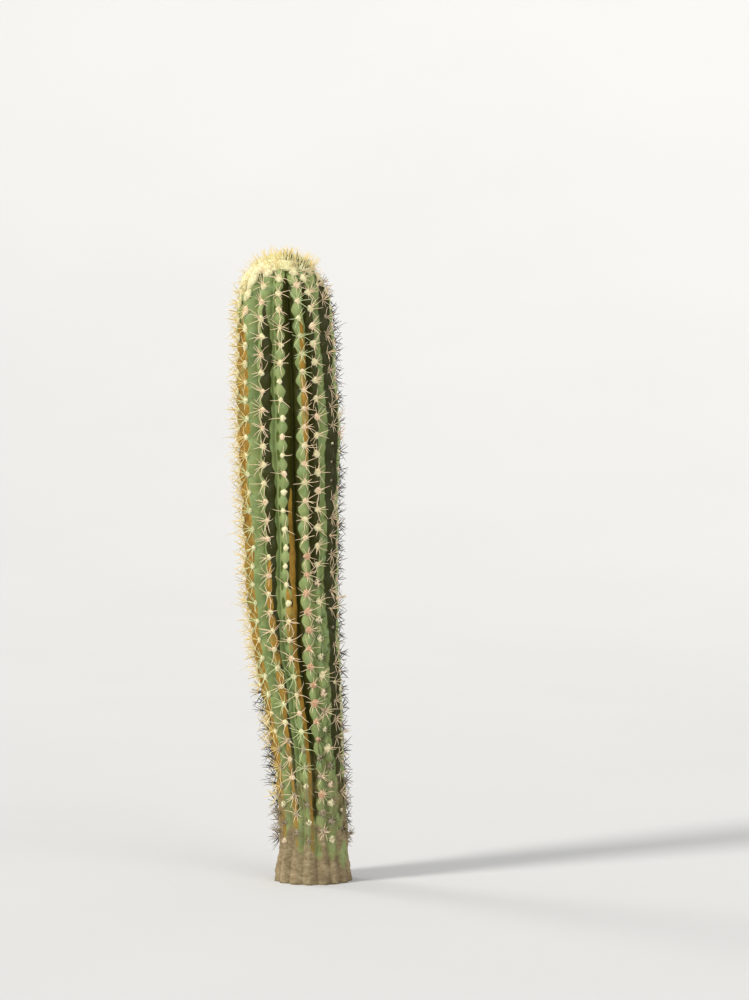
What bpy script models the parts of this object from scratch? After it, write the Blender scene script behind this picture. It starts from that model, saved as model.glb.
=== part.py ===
"""A columnar cactus: one ribbed stem with a woolly crown and a row of spiny areoles on every rib.

Metres, +Z up. The origin is the centre of the flat cut under the stem, at ground level.
The front is -Y. The stem is swept and leans towards -X on its way up.
"""

import math
import random

import bmesh
import bpy
import numpy as np
from mathutils import Vector

# The stem's heights
DOME_FROM = 0.440  # where the column starts to close into its dome
DOME_RISE = 0.058
HEIGHT = DOME_FROM + DOME_RISE
DOME_POWER = 2.4  # 2 is an ellipse, and more is blunter
CURVE_POINTS = 200  # for each of the column and the dome
NORMAL_STEP = 0.002

# Height and radius over the rib crests, from the flared foot through the waist to the crown
GIRTHS = (
    (0.000, 0.0318),
    (0.022, 0.0284),
    (0.070, 0.0277),
    (0.120, 0.0297),
    (0.190, 0.0351),
    (0.275, 0.0380),
    (0.370, 0.0409),
    (0.430, 0.0393),
    (HEIGHT, 0.0372),
)

# How the centreline leaves the upright
SWEEP = 0.015
SWEEP_FROM, SWEEP_TO = 0.030, 0.250
LEAN = 0.009
NOD = 0.004

# Ribs. The crowding draws them together on the front right.
RIBS = 15
RIB_TURN = math.radians(-99.7)
CROWDING, CROWDED_AT = 0.09, math.radians(-50)
# Turns of single ribs out of their places, which open the furrow on one side and close the other
RIB_SHIFTS = {1: math.radians(3.5), 2: math.radians(-3.0), 13: math.radians(-2.5)}
RIB_DEPTH = 0.48  # of the distance between two crests
FOOT_DEPTH, FOOT_RISE = 0.55, 0.120
RIB_POWER = 1.7
RIB_SECTION = (-0.36, -0.14, 0.14, 0.36, 0.50)  # where the section has points, in rib widths
COLUMN_RING = 0.0150
DOME_RING = 0.0068
SHARP_EDGE = math.radians(35)

# Areoles, counted down each rib from the growing tip
AREOLE_SPACING = 0.0147
YOUNG_CLOSENESS, YOUNG_COUNT = 0.35, 3.0
PHASE_STEP = 7 / 15  # the spiral that the areoles follow from rib to rib
LOWEST_AREOLE = 0.030
PAD_LENGTH = 0.0040
PAD_WIDTH, LINK_WIDTH = 0.0050, 0.0018
PAD_THICKNESS, LINK_THICKNESS = 0.0018, 0.0010
CLEARANCE = 0.00035
DOME_CLEARANCE = 0.00045  # more, because chords over the dome dip towards it
DOME_BLEND = 0.010  # over which the clearance changes

# Spines, shorter on the side away from the lean
SPINE_OUT, SHORT_SPINE_OUT = 0.0102, 0.0084
SHORT_FROM, SHORT_TO = -0.2, 0.7  # of the outward direction, along +X
SPINE_SIDE = 0.0085
SIDE_LIFT = 0.0032
SIDE_SHARE = 0.40  # of the distance to the next crest, which keeps rows apart
SPINE_SWING = 0.0034
ROW_SEED = 100

# The crown's wool
WOOL_REACH = 0.0260  # along the dome from the growing tip
WOOL_THICKNESS, WOOL_RIM = 0.0032, 0.0012
WOOL_RINGS = 5
CROWN_SPINE = 0.0065
CROWN_SPINE_SHARE = 0.42  # of the wool's faces
CROWN_SWAY = 0.2
CROWN_SEED = 3
ROW_TO_WOOL = 0.0012

GREEN = (0.24, 0.33, 0.13)
CREAM = (0.83, 0.80, 0.47)
BLUSH = (0.84, 0.66, 0.44)


def clear_scene():
    for obj in list(bpy.data.objects):
        bpy.data.objects.remove(obj)


def finish(name, colour, roughness):
    """A matt plant surface of one colour."""
    material = bpy.data.materials.new(name)
    material.use_nodes = True
    shader = material.node_tree.nodes["Principled BSDF"]
    shader.inputs["Base Color"].default_value = (*colour, 1.0)
    shader.inputs["Roughness"].default_value = roughness
    shader.inputs["Metallic"].default_value = 0.0
    return material


def add_object(name, bm, material, smooth_below=None):
    """Turns a bmesh into a named object with its faces pointing out."""
    bmesh.ops.recalc_face_normals(bm, faces=bm.faces)
    if bm.calc_volume(signed=True) < 0:
        bmesh.ops.reverse_faces(bm, faces=bm.faces)
    mesh = bpy.data.meshes.new(name)
    bm.to_mesh(mesh)
    bm.free()
    mesh.materials.append(material)
    if smooth_below is not None:
        mesh.shade_smooth()
        mesh.set_sharp_from_angle(angle=smooth_below)
    obj = bpy.data.objects.new(name, mesh)
    bpy.context.scene.collection.objects.link(obj)
    return obj


def smooth_step(value):
    value = min(1.0, max(0.0, value))
    return value * value * (3 - 2 * value)


def girth(height):
    """Radius over the crests before the dome closes, as a smooth curve through GIRTHS."""
    heights, radii = zip(*GIRTHS)
    slopes = np.gradient(radii, heights)
    i = min(len(heights) - 2, max(0, np.searchsorted(heights, height) - 1))
    span = heights[i + 1] - heights[i]
    t = (height - heights[i]) / span
    return (
        radii[i] * (1 + 2 * t) * (1 - t) ** 2
        + slopes[i] * span * t * (1 - t) ** 2
        + radii[i + 1] * t * t * (3 - 2 * t)
        + slopes[i + 1] * span * t * t * (t - 1)
    )


def crest_curve():
    """Arc length, radius and height along a crest, from the ground to the growing tip."""
    column = np.linspace(0, DOME_FROM, CURVE_POINTS)
    turn = np.linspace(0, math.pi / 2, CURVE_POINTS)[1:]
    height = np.concatenate([column, DOME_FROM + DOME_RISE * np.sin(turn) ** (2 / DOME_POWER)])
    closing = np.concatenate([np.ones(len(column)), np.abs(np.cos(turn)) ** (2 / DOME_POWER)])
    radius = np.array([girth(z) for z in height]) * closing
    radius[-1] = 0
    steps = np.hypot(np.diff(radius), np.diff(height))
    return np.concatenate([[0], np.cumsum(steps)]), radius, height


LENGTH, RADIUS, RISE = crest_curve()
CREST_LENGTH = float(LENGTH[-1])
DOME_LENGTH = float(np.interp(DOME_FROM, RISE, LENGTH))


def crest_at(length):
    """Radius, height and the outward normal's two parts at an arc length along a crest."""
    radius = float(np.interp(length, LENGTH, RADIUS))
    height = float(np.interp(length, LENGTH, RISE))
    low, high = max(0.0, length - NORMAL_STEP), min(CREST_LENGTH, length + NORMAL_STEP)
    across = float(np.interp(high, LENGTH, RADIUS) - np.interp(low, LENGTH, RADIUS))
    along = float(np.interp(high, LENGTH, RISE) - np.interp(low, LENGTH, RISE))
    if length < DOME_LENGTH:
        across = 0.0  # the column's sections are level, so its foot stays flat
    size = math.hypot(across, along)
    return radius, height, along / size, -across / size


def rib_angle(rib):
    """Direction of a crest, or of a place between two crests, about the centreline."""
    even = RIB_TURN + 2 * math.pi * rib / RIBS
    shifts = [RIB_SHIFTS.get(i % RIBS, 0.0) for i in range(RIBS + 1)]
    shift = float(np.interp(rib % RIBS, range(RIBS + 1), shifts))
    return even - CROWDING * math.sin(even - CROWDED_AT) + shift


def centreline(height):
    sweep = smooth_step((height - SWEEP_FROM) / (SWEEP_TO - SWEEP_FROM))
    share = (height / HEIGHT) ** 2
    return Vector((-SWEEP * sweep - LEAN * share, NOD * share, height))


def surface(length, rib, drop=0.0):
    """A point at an arc length and a direction, drop metres in from the crests' own surface."""
    radius, height, out, up = crest_at(length)
    angle = rib_angle(rib)
    outward = Vector((math.cos(angle), math.sin(angle), 0))
    return centreline(height) + outward * (radius - drop * out) - Vector((0, 0, drop * up))


def pitch(length, place):
    """The distance between the two crests on either side of a place, which is counted in ribs."""
    before = math.floor(place)
    return crest_at(length)[0] * (rib_angle(before + 1) - rib_angle(before))


def rib_drop(length, rib, across):
    """How far the skin lies under the crests, across rib widths from a rib's own."""
    worn = FOOT_DEPTH + (1 - FOOT_DEPTH) * smooth_step(crest_at(length)[1] / FOOT_RISE)
    return RIB_DEPTH * pitch(length, rib + across) * worn * abs(2 * across) ** RIB_POWER


def stem_rings():
    """Arc lengths of the stem's rings, closer together over the dome."""
    column = round(DOME_LENGTH / COLUMN_RING)
    dome = round((CREST_LENGTH - DOME_LENGTH) / DOME_RING)
    rings = [DOME_LENGTH * i / column for i in range(column)]
    return rings + [
        DOME_LENGTH + (CREST_LENGTH - DOME_LENGTH) * i / dome for i in range(dome)
    ]


def bridge(bm, lower, upper):
    """Quads between two rings of the same number of points."""
    count = len(lower)
    return [
        bm.faces.new((lower[i], lower[(i + 1) % count], upper[(i + 1) % count], upper[i]))
        for i in range(count)
    ]


def fan(bm, ring, tip):
    """Triangles from a ring to a tip."""
    count = len(ring)
    return [bm.faces.new((ring[i], ring[(i + 1) % count], tip)) for i in range(count)]


def make_stem(material):
    """The ribbed column, from its flat cut to the growing tip."""
    bm = bmesh.new()
    rings = []
    for length in stem_rings():
        rings.append([
            bm.verts.new(surface(length, rib + across, rib_drop(length, rib, across)))
            for rib in range(RIBS)
            for across in RIB_SECTION
        ])
    bm.faces.new(list(reversed(rings[0])))
    for lower, upper in zip(rings, rings[1:]):
        bridge(bm, lower, upper)
    fan(bm, rings[-1], bm.verts.new(surface(CREST_LENGTH, 0)))
    bmesh.ops.triangulate(bm, faces=[f for f in bm.faces if len(f.verts) > 4])
    return add_object("stem", bm, material, SHARP_EDGE)


def pull(bm, face, tip):
    """Draws a face out into a spine that ends at tip."""
    centre = bmesh.ops.poke(bm, faces=[face])["verts"][0]
    centre.co = tip


def make_crown(material):
    """The cap of wool over the growing tip, with its young spines."""
    chance = random.Random(CROWN_SEED)
    bm = bmesh.new()
    columns = [rib + half for rib in range(RIBS) for half in (0.0, 0.5)]

    def ring(share, rise):
        length = CREST_LENGTH - WOOL_REACH * share
        return [bm.verts.new(surface(length, column, -rise)) for column in columns]

    def thickness(share):
        return WOOL_RIM + (WOOL_THICKNESS - WOOL_RIM) * math.sqrt(1 - share * share)

    shares = [1 - i / WOOL_RINGS for i in range(WOOL_RINGS)]
    under = [ring(share, DOME_CLEARANCE) for share in shares]
    over = [ring(share, DOME_CLEARANCE + thickness(share)) for share in shares]
    bridge(bm, over[0], under[0])
    for lower, upper in zip(under, under[1:]):
        bridge(bm, upper, lower)
    apex = surface(CREST_LENGTH, 0)
    fan(bm, list(reversed(under[-1])), bm.verts.new(apex + Vector((0, 0, DOME_CLEARANCE))))
    wool = []
    for lower, upper in zip(over, over[1:]):
        wool += bridge(bm, lower, upper)
    fan(bm, over[-1], bm.verts.new(apex + Vector((0, 0, DOME_CLEARANCE + WOOL_THICKNESS))))
    heart = apex - Vector((0, 0, DOME_RISE))
    for face in wool:
        if chance.random() > CROWN_SPINE_SHARE:
            continue
        middle = face.calc_center_median()
        away = (middle - heart).normalized()
        sway = Vector((chance.uniform(-1, 1), chance.uniform(-1, 1), 0)) * CROWN_SWAY
        pull(bm, face, middle + (away + sway).normalized() * CROWN_SPINE)
    return add_object("crown_wool", bm, material)


def areole_distance(count):
    """Distance down the rib from the growing tip to the areole of this count."""
    young = YOUNG_CLOSENESS * YOUNG_COUNT * (1 - math.exp(-count / YOUNG_COUNT))
    return AREOLE_SPACING * (count - young)


def row_lengths(rib):
    """Arc lengths of one rib's areoles, from the lowest up, clear of the wool and the foot."""
    phase = (rib * PHASE_STEP) % 1
    lengths = []
    count = phase
    while True:
        length = CREST_LENGTH - areole_distance(count)
        if length < LOWEST_AREOLE:
            return sorted(lengths)
        if CREST_LENGTH - length > WOOL_REACH + ROW_TO_WOOL + PAD_LENGTH / 2:
            lengths.append(length)
        count += 1


def row_frame(length, rib):
    """Seat, outward, upward and sideways directions on a crest."""
    radius, height, out, up = crest_at(length)
    angle = rib_angle(rib)
    outward = Vector((math.cos(angle) * out, math.sin(angle) * out, up))
    side = Vector((-math.sin(angle), math.cos(angle), 0))
    on_dome = smooth_step((length - DOME_LENGTH) / DOME_BLEND + 1)
    clear = CLEARANCE + (DOME_CLEARANCE - CLEARANCE) * on_dome
    # The crest's own flat, between its two nearest points, is a little lower than its line
    flat = min(rib_drop(length, rib, across) for across in RIB_SECTION[1:3])
    return surface(length, rib, flat - clear), outward, side


def row_section(bm, length, rib, width, thickness):
    """The four corners of the row's section: under left, under right, over right, over left."""
    seat, outward, side = row_frame(length, rib)
    half = side * width / 2
    over = seat + outward * thickness
    return [bm.verts.new(p) for p in (seat - half, seat + half, over + half, over - half)]


def make_row(rib, material):
    """One rib's areoles, joined by a fine line of felt, each with a spine to either side and one out."""
    chance = random.Random(ROW_SEED + rib)
    bm = bmesh.new()
    last = None
    for length in row_lengths(rib):
        low = row_section(bm, length - PAD_LENGTH / 2, rib, LINK_WIDTH, LINK_THICKNESS)
        high = row_section(bm, length + PAD_LENGTH / 2, rib, PAD_WIDTH, PAD_THICKNESS)
        if last is None:
            bm.faces.new(list(reversed(low)))
        else:
            bridge(bm, last, low)
        _, right, over, left = bridge(bm, low, high)
        last = high
        seat, outward, side = row_frame(length, rib)
        along = outward.cross(side)
        swing = chance.choice((-1, 1)) * SPINE_SWING
        for face, way in ((right, 1), (left, -1)):
            reach = min(SPINE_SIDE, SIDE_SHARE * pitch(length, rib + way / 2))
            tip = seat + side * way * reach + outward * SIDE_LIFT + along * way * swing
            pull(bm, face, tip)
        droop = along * chance.uniform(-SPINE_SWING, SPINE_SWING)
        short = smooth_step((outward.x - SHORT_FROM) / (SHORT_TO - SHORT_FROM))
        out = SPINE_OUT + (SHORT_SPINE_OUT - SPINE_OUT) * short
        pull(bm, over, seat + outward * (PAD_THICKNESS + out) + droop)
    bm.faces.new(last)
    return add_object(f"areole_row_{rib + 1:02d}", bm, material)


def main():
    clear_scene()
    make_stem(finish("green skin", GREEN, roughness=0.55))
    make_crown(finish("crown wool", CREAM, roughness=0.9))
    felt = finish("areole felt", BLUSH, roughness=0.85)
    for rib in range(RIBS):
        make_row(rib, felt)


main()
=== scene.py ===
"""A columnar cactus, dressed around its solids: skin, felt, wool and spines.

Metres, +Z up, with the viewer on the -Y side, in the frame of the solids. The plant grows by the
rule that shapes the solids. Growth holds that rule, and the other classes carry it on to finer
detail, so every pad, fibre and spine sits where the solids have it.

Throughout, a length runs up a rib's crest from the ground to the growing tip, and a place round
the stem is a rib's number, with a half between two crests.
"""

from __future__ import annotations

import logging
import math
from dataclasses import astuple, dataclass, field, replace
from enum import Enum
from functools import cached_property
from typing import Self

import bpy
import numpy as np
from mathutils import Matrix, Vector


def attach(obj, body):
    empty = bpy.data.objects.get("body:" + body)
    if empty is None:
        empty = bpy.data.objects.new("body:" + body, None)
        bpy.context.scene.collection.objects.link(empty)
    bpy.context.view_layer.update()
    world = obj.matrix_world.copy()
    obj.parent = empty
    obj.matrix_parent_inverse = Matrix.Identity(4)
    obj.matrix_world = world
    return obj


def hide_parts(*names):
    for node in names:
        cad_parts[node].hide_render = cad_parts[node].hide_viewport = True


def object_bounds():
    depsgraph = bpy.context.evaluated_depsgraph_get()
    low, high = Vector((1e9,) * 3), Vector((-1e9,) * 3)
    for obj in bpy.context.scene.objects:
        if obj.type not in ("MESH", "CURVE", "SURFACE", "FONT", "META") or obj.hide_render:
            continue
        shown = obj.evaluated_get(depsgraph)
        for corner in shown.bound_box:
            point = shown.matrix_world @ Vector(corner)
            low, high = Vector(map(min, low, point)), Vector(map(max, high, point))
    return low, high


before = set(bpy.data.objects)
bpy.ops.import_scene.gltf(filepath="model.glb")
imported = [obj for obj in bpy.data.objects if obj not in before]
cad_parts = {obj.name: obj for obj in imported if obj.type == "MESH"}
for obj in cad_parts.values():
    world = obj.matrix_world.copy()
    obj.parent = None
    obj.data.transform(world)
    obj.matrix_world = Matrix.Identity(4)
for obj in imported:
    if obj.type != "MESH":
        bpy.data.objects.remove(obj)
cad_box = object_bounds()

log = logging.getLogger("cactus")

Array = np.ndarray
Chance = np.random.Generator
Colour = tuple[float, float, float, float]
Span = tuple[float, float]
Object = bpy.types.Object
Material = bpy.types.Material
Tree = bpy.types.NodeTree
Socket = bpy.types.NodeSocket

BODY = "root"
STEM_NODE = "stem"
CROWN_NODE = "crown_wool"
ROW_PREFIX = "areole_row_"
BAKE_MAP = "OFBake"

# How far under the rim of the crown's wool the topmost areoles that show sit.
UNDER_WOOL = 0.004

# The sockets of a Mix node for colours: the share, the first and second colour, and the result.
MIX_INPUTS = (0, 6, 7)
MIX_OUTPUT = 2


def screen(red: int, green: int, blue: int) -> Colour:
    """The linear colour and alpha of a screen colour, whose shares run from 0 to 255.

    Args:
        red: The share of red.
        green: The share of green.
        blue: The share of blue.

    Returns:
        Red, green, blue and alpha as a shader takes them.
    """
    shares = np.array([red, green, blue]) / 255
    linear = np.where(shares <= 0.04045, shares / 12.92, ((shares + 0.055) / 1.055) ** 2.4)
    return (*linear.tolist(), 1.0)


def smooth_step(value: Array) -> Array:
    """A ramp from 0 to 1 with level ends, over values from 0 to 1."""
    value = np.clip(value, 0, 1)
    return value * value * (3 - 2 * value)


def rising(value: Array, span: Span) -> Array:
    """A ramp with level ends, 0 where a span of values starts and 1 where it ends."""
    return smooth_step((value - span[0]) / (span[1] - span[0]))


def soft_edge(inside: Array, width: float) -> Array:
    """A mask by the distance inside its edge, which it crosses over a width."""
    return smooth_step(inside / width + 0.5)


def unit(vectors: Array) -> Array:
    """Vectors of length 1 in the same directions, one to a row."""
    return vectors / np.linalg.norm(vectors, axis=-1, keepdims=True)


def turns(count: int) -> Array:
    """Even steps round a full turn."""
    return math.tau * np.arange(count) / count


def ring_quads(rings: int, sides: int) -> Array:
    """Quads between rings of points that follow each other in one list.

    Args:
        rings: The number of rings.
        sides: The number of points in each.

    Returns:
        One quad to a row.
    """
    ring, side = np.meshgrid(np.arange(rings - 1) * sides, np.arange(sides), indexing="ij")
    low, after = ring + side, ring + (side + 1) % sides
    return np.stack([low, after, after + sides, low + sides], axis=-1).reshape(-1, 4)


def fan(ring: Array, apex: int) -> Array:
    """Triangles, one to a row, from each side of a closed ring of points to one more point."""
    return np.stack([ring, np.roll(ring, -1), np.full(len(ring), apex)], axis=-1)


def new_object(name: str, data: bpy.types.ID | None) -> Object:
    """Makes an object and links it to the scene.

    Args:
        name: The object's name.
        data: The mesh, lamp or camera that it holds.

    Returns:
        The new object.
    """
    obj = bpy.data.objects.new(name, data)
    bpy.context.scene.collection.objects.link(obj)
    return obj


def mesh_object(name: str, points: Array, faces: list[Array]) -> Object:
    """Makes a smooth-shaded mesh object.

    Args:
        name: The object's name.
        points: One point to a row.
        faces: Arrays of faces, each with one number of corners.

    Returns:
        The new object.
    """
    mesh = bpy.data.meshes.new(name)
    mesh.from_pydata(points.tolist(), [], [row for block in faces for row in block.tolist()])
    mesh.shade_smooth()
    mesh.validate()
    return new_object(name, mesh)


def pointed_tubes(name: str, rings: Array, tips: Array) -> Object:
    """Makes closed tubes with a flat foot and a point, as one mesh.

    Args:
        name: The object's name.
        rings: The points of each tube, by tube, ring, side and axis.
        tips: The point that each tube ends in.

    Returns:
        The new object.
    """
    count, along, sides, _ = rings.shape
    points = np.concatenate([rings.reshape(count, -1, 3), tips[:, None]], axis=1).reshape(-1, 3)
    first = np.arange(count)[:, None, None] * (along * sides + 1)
    side = np.arange(sides)
    quads = (first + ring_quads(along, sides)).reshape(-1, 4)
    ends = (first + fan((along - 1) * sides + side, along * sides)).reshape(-1, 3)
    return mesh_object(name, points, [quads, ends, (first + side[::-1]).reshape(-1, sides)])


@dataclass(frozen=True)
class Ripple:
    """A smooth random field over the stem, which closes on itself round it.

    Its values have a mean of 0 and a spread of about 1.
    """

    seed: int
    most_turns: int
    shortest: float
    longest: float
    waves: int = 20

    def at(self, length: Array, rib: Array, ribs: int) -> Array:
        """The field's values.

        Args:
            length: Lengths up a crest.
            rib: Places round the stem.
            ribs: The number of ribs.

        Returns:
            One value for each place.
        """
        chance = np.random.default_rng(self.seed)
        total = np.zeros(np.broadcast(length, rib).shape)
        for _ in range(self.waves):
            rounds = chance.integers(-self.most_turns, self.most_turns + 1)
            pace = math.tau / chance.uniform(self.shortest, self.longest)
            start = chance.uniform(0, math.tau)
            total = total + np.sin(math.tau * rounds * rib / ribs + pace * length + start)
        return total / math.sqrt(self.waves / 2)


@dataclass(frozen=True)
class Growth:
    """The rule that the plant grows by: its girth, its lean, its ribs and its areoles."""

    dome_from: float = 0.440
    dome_rise: float = 0.058
    dome_power: float = 2.4
    girths: tuple[Span, ...] = (
        (0.000, 0.0318),
        (0.022, 0.0284),
        (0.070, 0.0277),
        (0.120, 0.0297),
        (0.190, 0.0351),
        (0.275, 0.0380),
        (0.370, 0.0409),
        (0.430, 0.0393),
        (0.498, 0.0372),
    )
    sweep: float = 0.015
    sweep_from: float = 0.030
    sweep_to: float = 0.250
    lean: float = 0.009
    nod: float = 0.004
    ribs: int = 15
    rib_turn: float = math.radians(-99.7)
    crowding: float = 0.09
    crowded_at: float = math.radians(-50)
    rib_shifts: tuple[tuple[int, float], ...] = (
        (1, math.radians(3.5)),
        (2, math.radians(-3.0)),
        (13, math.radians(-2.5)),
    )
    rib_depth: float = 0.48
    rib_power: float = 1.7
    foot_depth: float = 0.55
    foot_rise: float = 0.120
    areole_spacing: float = 0.0147
    young_closeness: float = 0.35
    young_count: float = 3.0
    phase_step: float = 7 / 15
    lowest_areole: float = 0.030
    first_count: float = 0.4
    most_areoles: int = 60
    wool_reach: float = 0.0260
    curve_points: int = 600
    count_points: int = 2000
    normal_step: float = 0.002

    @property
    def height(self) -> float:
        """The growing tip's height over the ground."""
        return self.dome_from + self.dome_rise

    def girth(self, height: Array) -> Array:
        """The radius over the crests before the dome closes.

        Args:
            height: Heights over the ground.

        Returns:
            One radius for each height, on a smooth curve through the girths.
        """
        heights, radii = np.array(self.girths).T
        slopes = np.gradient(radii, heights)
        i = np.clip(np.searchsorted(heights, height) - 1, 0, len(heights) - 2)
        span = heights[i + 1] - heights[i]
        t = (height - heights[i]) / span
        return (
            radii[i] * (1 + 2 * t) * (1 - t) ** 2
            + slopes[i] * span * t * (1 - t) ** 2
            + radii[i + 1] * t * t * (3 - 2 * t)
            + slopes[i + 1] * span * t * t * (t - 1)
        )

    @cached_property
    def crest(self) -> tuple[Array, Array, Array]:
        """A crest's line from the ground to the growing tip.

        Returns:
            The length, the radius and the height at each of its points.
        """
        column = np.linspace(0, self.dome_from, self.curve_points)
        turn = np.linspace(0, math.pi / 2, self.curve_points)[1:]
        blunt = 2 / self.dome_power
        height = np.concatenate([column, self.dome_from + self.dome_rise * np.sin(turn) ** blunt])
        closing = np.concatenate([np.ones(len(column)), np.abs(np.cos(turn)) ** blunt])
        radius = self.girth(height) * closing
        radius[-1] = 0
        steps = np.hypot(np.diff(radius), np.diff(height))
        return np.concatenate([[0], np.cumsum(steps)]), radius, height

    @property
    def crest_length(self) -> float:
        """The length of a whole crest."""
        return float(self.crest[0][-1])

    @cached_property
    def dome_length(self) -> float:
        """The length at which the dome starts."""
        return float(np.interp(self.dome_from, self.crest[2], self.crest[0]))

    def radius(self, length: Array) -> Array:
        """The radius over the crests at each length."""
        return np.interp(length, self.crest[0], self.crest[1])

    def rise(self, length: Array) -> Array:
        """The height over the ground at each length."""
        return np.interp(length, self.crest[0], self.crest[2])

    def slope(self, length: Array) -> tuple[Array, Array]:
        """The outward and upward parts of a crest's normal.

        Args:
            length: Lengths up a crest.

        Returns:
            The outward part and the upward part at each length.
        """
        low = np.maximum(0.0, length - self.normal_step)
        high = np.minimum(self.crest_length, length + self.normal_step)
        across = np.where(length < self.dome_length, 0, self.radius(high) - self.radius(low))
        along = self.rise(high) - self.rise(low)
        size = np.hypot(across, along)
        return along / size, -across / size

    def angle(self, rib: Array) -> Array:
        """The direction, in radians, of each place round the stem.

        Args:
            rib: Places round the stem.

        Returns:
            One angle for each place.
        """
        even = self.rib_turn + math.tau * rib / self.ribs
        shifts = np.zeros(self.ribs + 1)
        for shifted, shift in self.rib_shifts:
            shifts[shifted] = shift
        shifts[-1] = shifts[0]
        shift = np.interp(rib % self.ribs, np.arange(self.ribs + 1), shifts)
        return even - self.crowding * np.sin(even - self.crowded_at) + shift

    def centre(self, height: Array) -> Array:
        """The centreline's point at each height.

        Args:
            height: Heights over the ground.

        Returns:
            One point for each height, in the last axis.
        """
        sweep = rising(height, (self.sweep_from, self.sweep_to))
        share = (height / self.height) ** 2
        sideways = -self.sweep * sweep - self.lean * share
        return np.stack([sideways, self.nod * share, height], axis=-1)

    def drop(self, length: Array, rib: Array) -> Array:
        """How far the plain ribbed skin lies under the crests.

        Args:
            length: Lengths up a crest.
            rib: Places round the stem.

        Returns:
            One distance for each place.
        """
        before = np.floor(rib)
        pitch = self.radius(length) * (self.angle(before + 1) - self.angle(before))
        worn = smooth_step(self.rise(length) / self.foot_rise)
        depth = self.foot_depth + (1 - self.foot_depth) * worn
        return self.rib_depth * pitch * depth * np.abs(2 * (rib - np.round(rib))) ** self.rib_power

    def point(self, length: Array, rib: Array, drop: Array | float) -> Array:
        """Points at a distance in from the surface that runs over the crests.

        Args:
            length: Lengths up a crest.
            rib: Places round the stem.
            drop: Distances in from that surface.

        Returns:
            One point for each place, in the last axis.
        """
        out, up = self.slope(length)
        angle = self.angle(rib)
        reach = self.radius(length) - drop * out
        spread = np.stack([np.cos(angle) * reach, np.sin(angle) * reach, -drop * up], axis=-1)
        return self.centre(self.rise(length)) + spread

    def areole_distance(self, count: Array) -> Array:
        """The distance down a crest from the growing tip to the areole of each count."""
        young = self.young_closeness * self.young_count * (1 - np.exp(-count / self.young_count))
        return self.areole_spacing * (count - young)

    def areole_count(self, length: Array, rib: Array) -> Array:
        """How many areoles lie above each place on its nearest rib.

        Args:
            length: Lengths up a crest.
            rib: Places round the stem.

        Returns:
            The count at each place, less the rib's own start on the spiral. A whole number is an
            areole's place.
        """
        counts = np.linspace(0, self.most_areoles, self.count_points)
        start = (np.round(rib) % self.ribs * self.phase_step) % 1
        return np.interp(self.crest_length - length, self.areole_distance(counts), counts) - start

    def between(self, length: Array, rib: Array) -> Array:
        """How near each place is to the middle between two areoles of its rib, from 0 to 1."""
        return 0.5 - 0.5 * np.cos(math.tau * self.areole_count(length, rib))


@dataclass(frozen=True)
class Relief:
    """What the live skin adds to the plain ribs: pillows, dents, swells and a wrinkled foot."""

    growth: Growth
    pillow: float = 0.0015
    pillow_middle: float = 0.6
    pillow_fall: float = 0.8
    dent: float = 0.0009
    swell: float = 0.0003
    wander: float = 0.035
    wrinkle: float = 0.00022
    wrinkled: Span = (0.100, 0.020)
    worn_down: float = 0.7
    level_reach: float = 0.003
    slow: Ripple = Ripple(seed=5, most_turns=15, shortest=0.030, longest=0.120)
    sway: Ripple = Ripple(seed=6, most_turns=12, shortest=0.040, longest=0.150)
    folds: Ripple = Ripple(seed=7, most_turns=14, shortest=0.0030, longest=0.0100)

    def rise(self, length: Array, rib: Array) -> Array:
        """How far the skin stands out of the plain ribs.

        Args:
            length: Lengths up a crest.
            rib: Places round the stem.

        Returns:
            One distance for each place.
        """
        grown = self.growth
        off_crest = np.abs(2 * (rib - np.round(rib)))
        between = grown.between(length, rib)
        young = smooth_step((grown.crest_length - length) / grown.wool_reach)
        crest = self.pillow * (between - self.pillow_middle) * (1 - off_crest) ** self.pillow_fall
        flank = -self.dent * (1 - between) ** 2 * np.sin(math.pi * off_crest) ** 2
        old = rising(length, self.wrinkled)
        folds = self.wrinkle * old * self.folds.at(length, rib, grown.ribs)
        swell = self.swell * self.slow.at(length, rib, grown.ribs)
        grown_out = young * (crest + flank) * (1 - self.worn_down * old) + swell * young + folds
        return grown_out * smooth_step(length / self.level_reach)

    def point(self, length: Array, rib: Array) -> Array:
        """The live skin's points.

        Args:
            length: Lengths up a crest.
            rib: Places round the stem.

        Returns:
            One point for each place, in the last axis.
        """
        drop = self.growth.drop(length, rib) - self.rise(length, rib)
        shift = self.wander * self.sway.at(length, rib, self.growth.ribs)
        return self.growth.point(length, rib + shift, drop)


class Rows:
    """A dataclass whose arrays hold one thing to a row."""

    def chosen(self, mask: Array) -> Self:
        """Those things where mask is true."""
        arrays = {name: held for name, held in vars(self).items() if isinstance(held, Array)}
        return replace(self, **{name: held[mask] for name, held in arrays.items()})


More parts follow.
